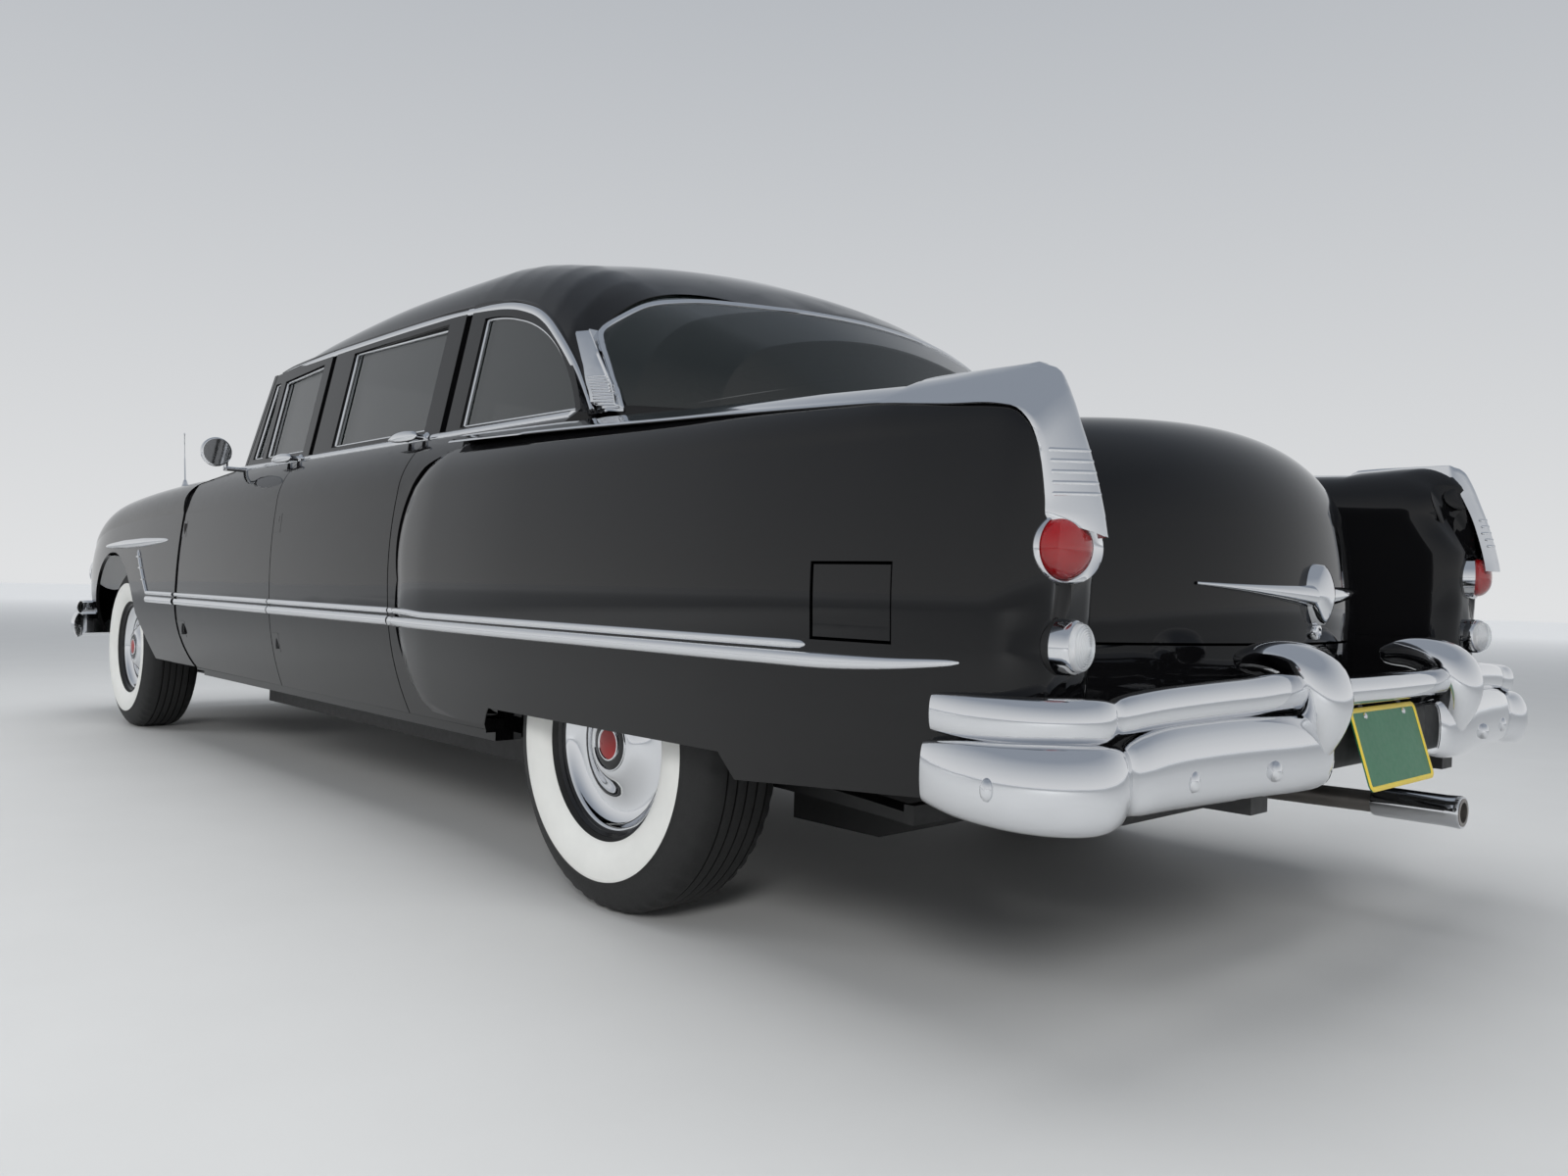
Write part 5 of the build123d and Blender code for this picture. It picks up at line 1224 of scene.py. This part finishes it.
def wings_shape():
    rows, columns, points = 60, 12, []
    for y in spaced(-WING_REACH, WING_REACH, rows):
        reach = abs(y) / WING_REACH
        middle, half = 703 + 19 * reach, 3 + 20 * (1 - reach) ** 1.25
        proud = 5 + 19 * (1 - reach) ** 0.9
        for j in range(columns + 1):
            turn = math.pi * j / columns
            points.append(on_tail(y, middle - half * math.cos(turn), proud * math.sin(turn) ** 0.7))
    return points, quads(rows + 1, columns + 1)


def drop_shape():
    """Rings round one middle point, on a mound that ends square on the lid."""
    rings, spokes, points = 10, 48, []
    for i in range(rings + 1):
        t = i / rings
        proud = 8 + 22 * math.sqrt(1 - t ** 2.4) if i < rings else 0.0
        for c, up in turns(spokes):
            wide = 42 * (1 - max(0.0, -up) ** 1.4 * 0.35)
            tall = 62 if up > 0 else 60
            points.append(on_tail(wide * bent(c, 1.1) * t, DROP_Z + tall * up * t, proud))
    points.append(on_tail(0, DROP_Z, 30))
    faces = [face for face in quads(rings + 1, spokes, round_columns=True) if min(face) >= spokes]
    return points, faces + [(len(points) - 1, spokes + (k + 1) % spokes, spokes + k) for k in range(spokes)]


def make_boot_ornament():
    """Wings either side of a plain drop, without a crest, and a lock below."""
    bright_one("boot_wings", wings_shape(), "boot_lid", 60)
    bright_one("boot_drop", drop_shape(), "boot_lid", 60)
    skin, normal = strike(TAIL, (-3400, 0, 636), (1, 0, 0))
    lock = [(-3, 16), (5, 16), (9, 14), (10, 9), (7, 7), (7, 0.05)]
    bright_one("boot_lock", lathe(lock, skin, normal, 40), "boot_lid", 40)


make_boot_ornament()
print("boot ornament made")

# %% Blank number plate
PLATE_GREEN = plain("plate_green", (0.01, 0.13, 0.055), 0.35, grain=90.0, depth=0.03, spread=0.1)
PLATE_YELLOW = plain("plate_yellow", (0.75, 0.56, 0.05), 0.35, grain=90.0, depth=0.03, spread=0.1)
PLATE_TOP = Vector((-2910, 0, 507))
PLATE_DOWN, PLATE_OUT = Vector((-41, 0, -138)).normalized(), Vector((-138, 0, 41)).normalized()
PLATE_HALF, PLATE_TALL, PLATE_CORNER = 152.4, 148.0, 15.0
# how far each ring of the pressing is inside the edge, and how high it stands
PLATE_RINGS = [(0, -1.5), (0, 1.0), (2, 2.6), (7, 2.6), (9, 0.8), (20, 0.6), (60, 0.6)]


def on_plate(y, down, lift):
    return tuple(PLATE_TOP + Vector((0, y, 0)) + PLATE_DOWN * down + PLATE_OUT * lift)


def make_number_plate():
    """A pressed plate with rounded corners and a raised rim, left blank, on two straps."""
    points = []
    for inset, lift in PLATE_RINGS:
        radius = max(2.0, PLATE_CORNER - inset)
        right, high, low = PLATE_HALF - inset - radius, inset + radius, PLATE_TALL - inset - radius
        for y, down, start in ((right, high, 0), (-right, high, 90), (-right, low, 180), (right, low, 270)):
            for turn in (math.radians(start + 11.25 * i) for i in range(9)):
                points.append(on_plate(y + radius * math.cos(turn), down - radius * math.sin(turn), lift))
    count = len(points) // len(PLATE_RINGS)
    plate = piece("number_plate", points, tube(len(PLATE_RINGS), count), PLATE_GREEN, "body", None, 40)
    plate.data.materials.append(PLATE_YELLOW)
    for polygon in plate.data.polygons:
        corners = polygon.vertices
        if len(corners) == 4 and min(corners) >= count and max(corners) < 5 * count:
            polygon.material_index = 1
    screw = [(0, 6), (2, 5.5), (3.6, 3), (4, 0.02)]
    for side, sign in SIDES:
        line = [on_plate(90 * sign, down, -4) for down in (-22, 20, 70, 120)]
        strap = sweep(line, [PLATE_OUT] * 4, [(-9, -2), (-9, 1), (9, 1), (9, -2)])
        piece(f"plate_strap_{side}", *strap, CHASSIS, "body", "chassis", 40)
        bright_one(f"plate_screw_{side}", lathe(screw, on_plate(90 * sign, 16, 0.5), PLATE_OUT, 20), angle=40)


make_number_plate()
print("blank plate made")

# %% Antenna and tailpipe end
MAST = [
    (-4, 17), (2, 17), (6, 14), (14, 11), (22, 9), (30, 6), (34, 3.2), (120, 3.0), (122, 2.2), (214, 1.8),
    (216, 3), (220, 3.4), (224, 2.4), (225, 0.05),
]
TIP = [
    (0, 24), (0, 33), (6, 34.5), (150, 34), (176, 35.5), (180, 34), (180, 28), (120, 27), (60, 27), (0, 24),
]

mast_base, _ = strike(SKIN, (1458, 830, 1300), (0, 0, -1))
bright_one("antenna", lathe(MAST, mast_base, (0.02, 0.03, 1), 24), angle=40)
bright_one("tailpipe_tip", lathe(TIP, (-2717, -500, 250), (-1, 0, 0), 48), angle=30)
print("antenna and tailpipe end made")

# %% [markdown]
# ## Seats
# Each bench is two pads, a cushion and a leaning back, whose ends pull in and whose faces are sewn into
# upright channels. They sit in the space of the CAD seats.

# %% Benches
CHANNELS_ACROSS = 7


def pad(name, section, half):
    """A bench pad: a closed section carried across the car, drawn in at the ends and along its seams."""
    rows, channel, reach, points = 160, half / CHANNELS_ACROSS, half - 4, []
    cx, cz = (sum(values) / len(section) for values in zip(*section))
    for i in range(rows + 1):
        y = reach * math.sin(math.pi / 2 * (2 * i / rows - 1))
        end = (1 - min(1.0, abs(y) / reach) ** 10) ** (1 / 6)
        off_seam = (y / channel + 0.5) % 1.0 - 0.5
        pull = 7.0 * math.exp(-(off_seam * channel / 9.0) ** 2) * min(1.0, (reach - abs(y)) / 40)
        swell = 2.0 * math.cos(math.pi * off_seam)
        for x, z in section:
            out = Vector((x - cx, z - cz))
            far = out.length * (0.80 + 0.20 * end)
            out.normalize()
            if out.y > 0.2 or out.x > 0.3:  # the faces that are sewn
                far -= pull - swell
            points.append((cx + out.x * far, y, cz + out.y * far))
    made = piece(name, points, tube(rows + 1, len(section)), CLOTH, "body", "seat_cloth", 60)
    return made


def squared(cx, cz, long, tall, lean=0.0, taper=0.0):
    """A soft squared section, which may lean back and thin toward its top."""
    section = []
    for c, s in turns(56):
        x, z = long * bent(c, 2 / 3.6), tall * bent(s, 2 / 3.6)
        section.append((cx + x * (1 - taper * (z / tall + 1) / 2) - lean * (z + tall), cz + z))
    return section


def bench(name, node, x, half, depth, base, height):
    """A bench whose back stands at x, with its half width, depth, underside and height."""
    tall = (height - 62) / 2
    cushion = pad(f"{name}_cushion", squared(x + depth / 2 + 22, base + 95, depth / 2 - 24, 93), half)
    pad(f"{name}_back", squared(x + 44, base + 60 + tall, 58, tall, lean=0.215, taper=0.25), half)
    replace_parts(cushion, node)


bench("front_bench", "front_seat", 220, 700, 470, 482, 560)
bench("rear_bench", "rear_seat", -1115, 560, 500, 572, 520)
print("benches made")
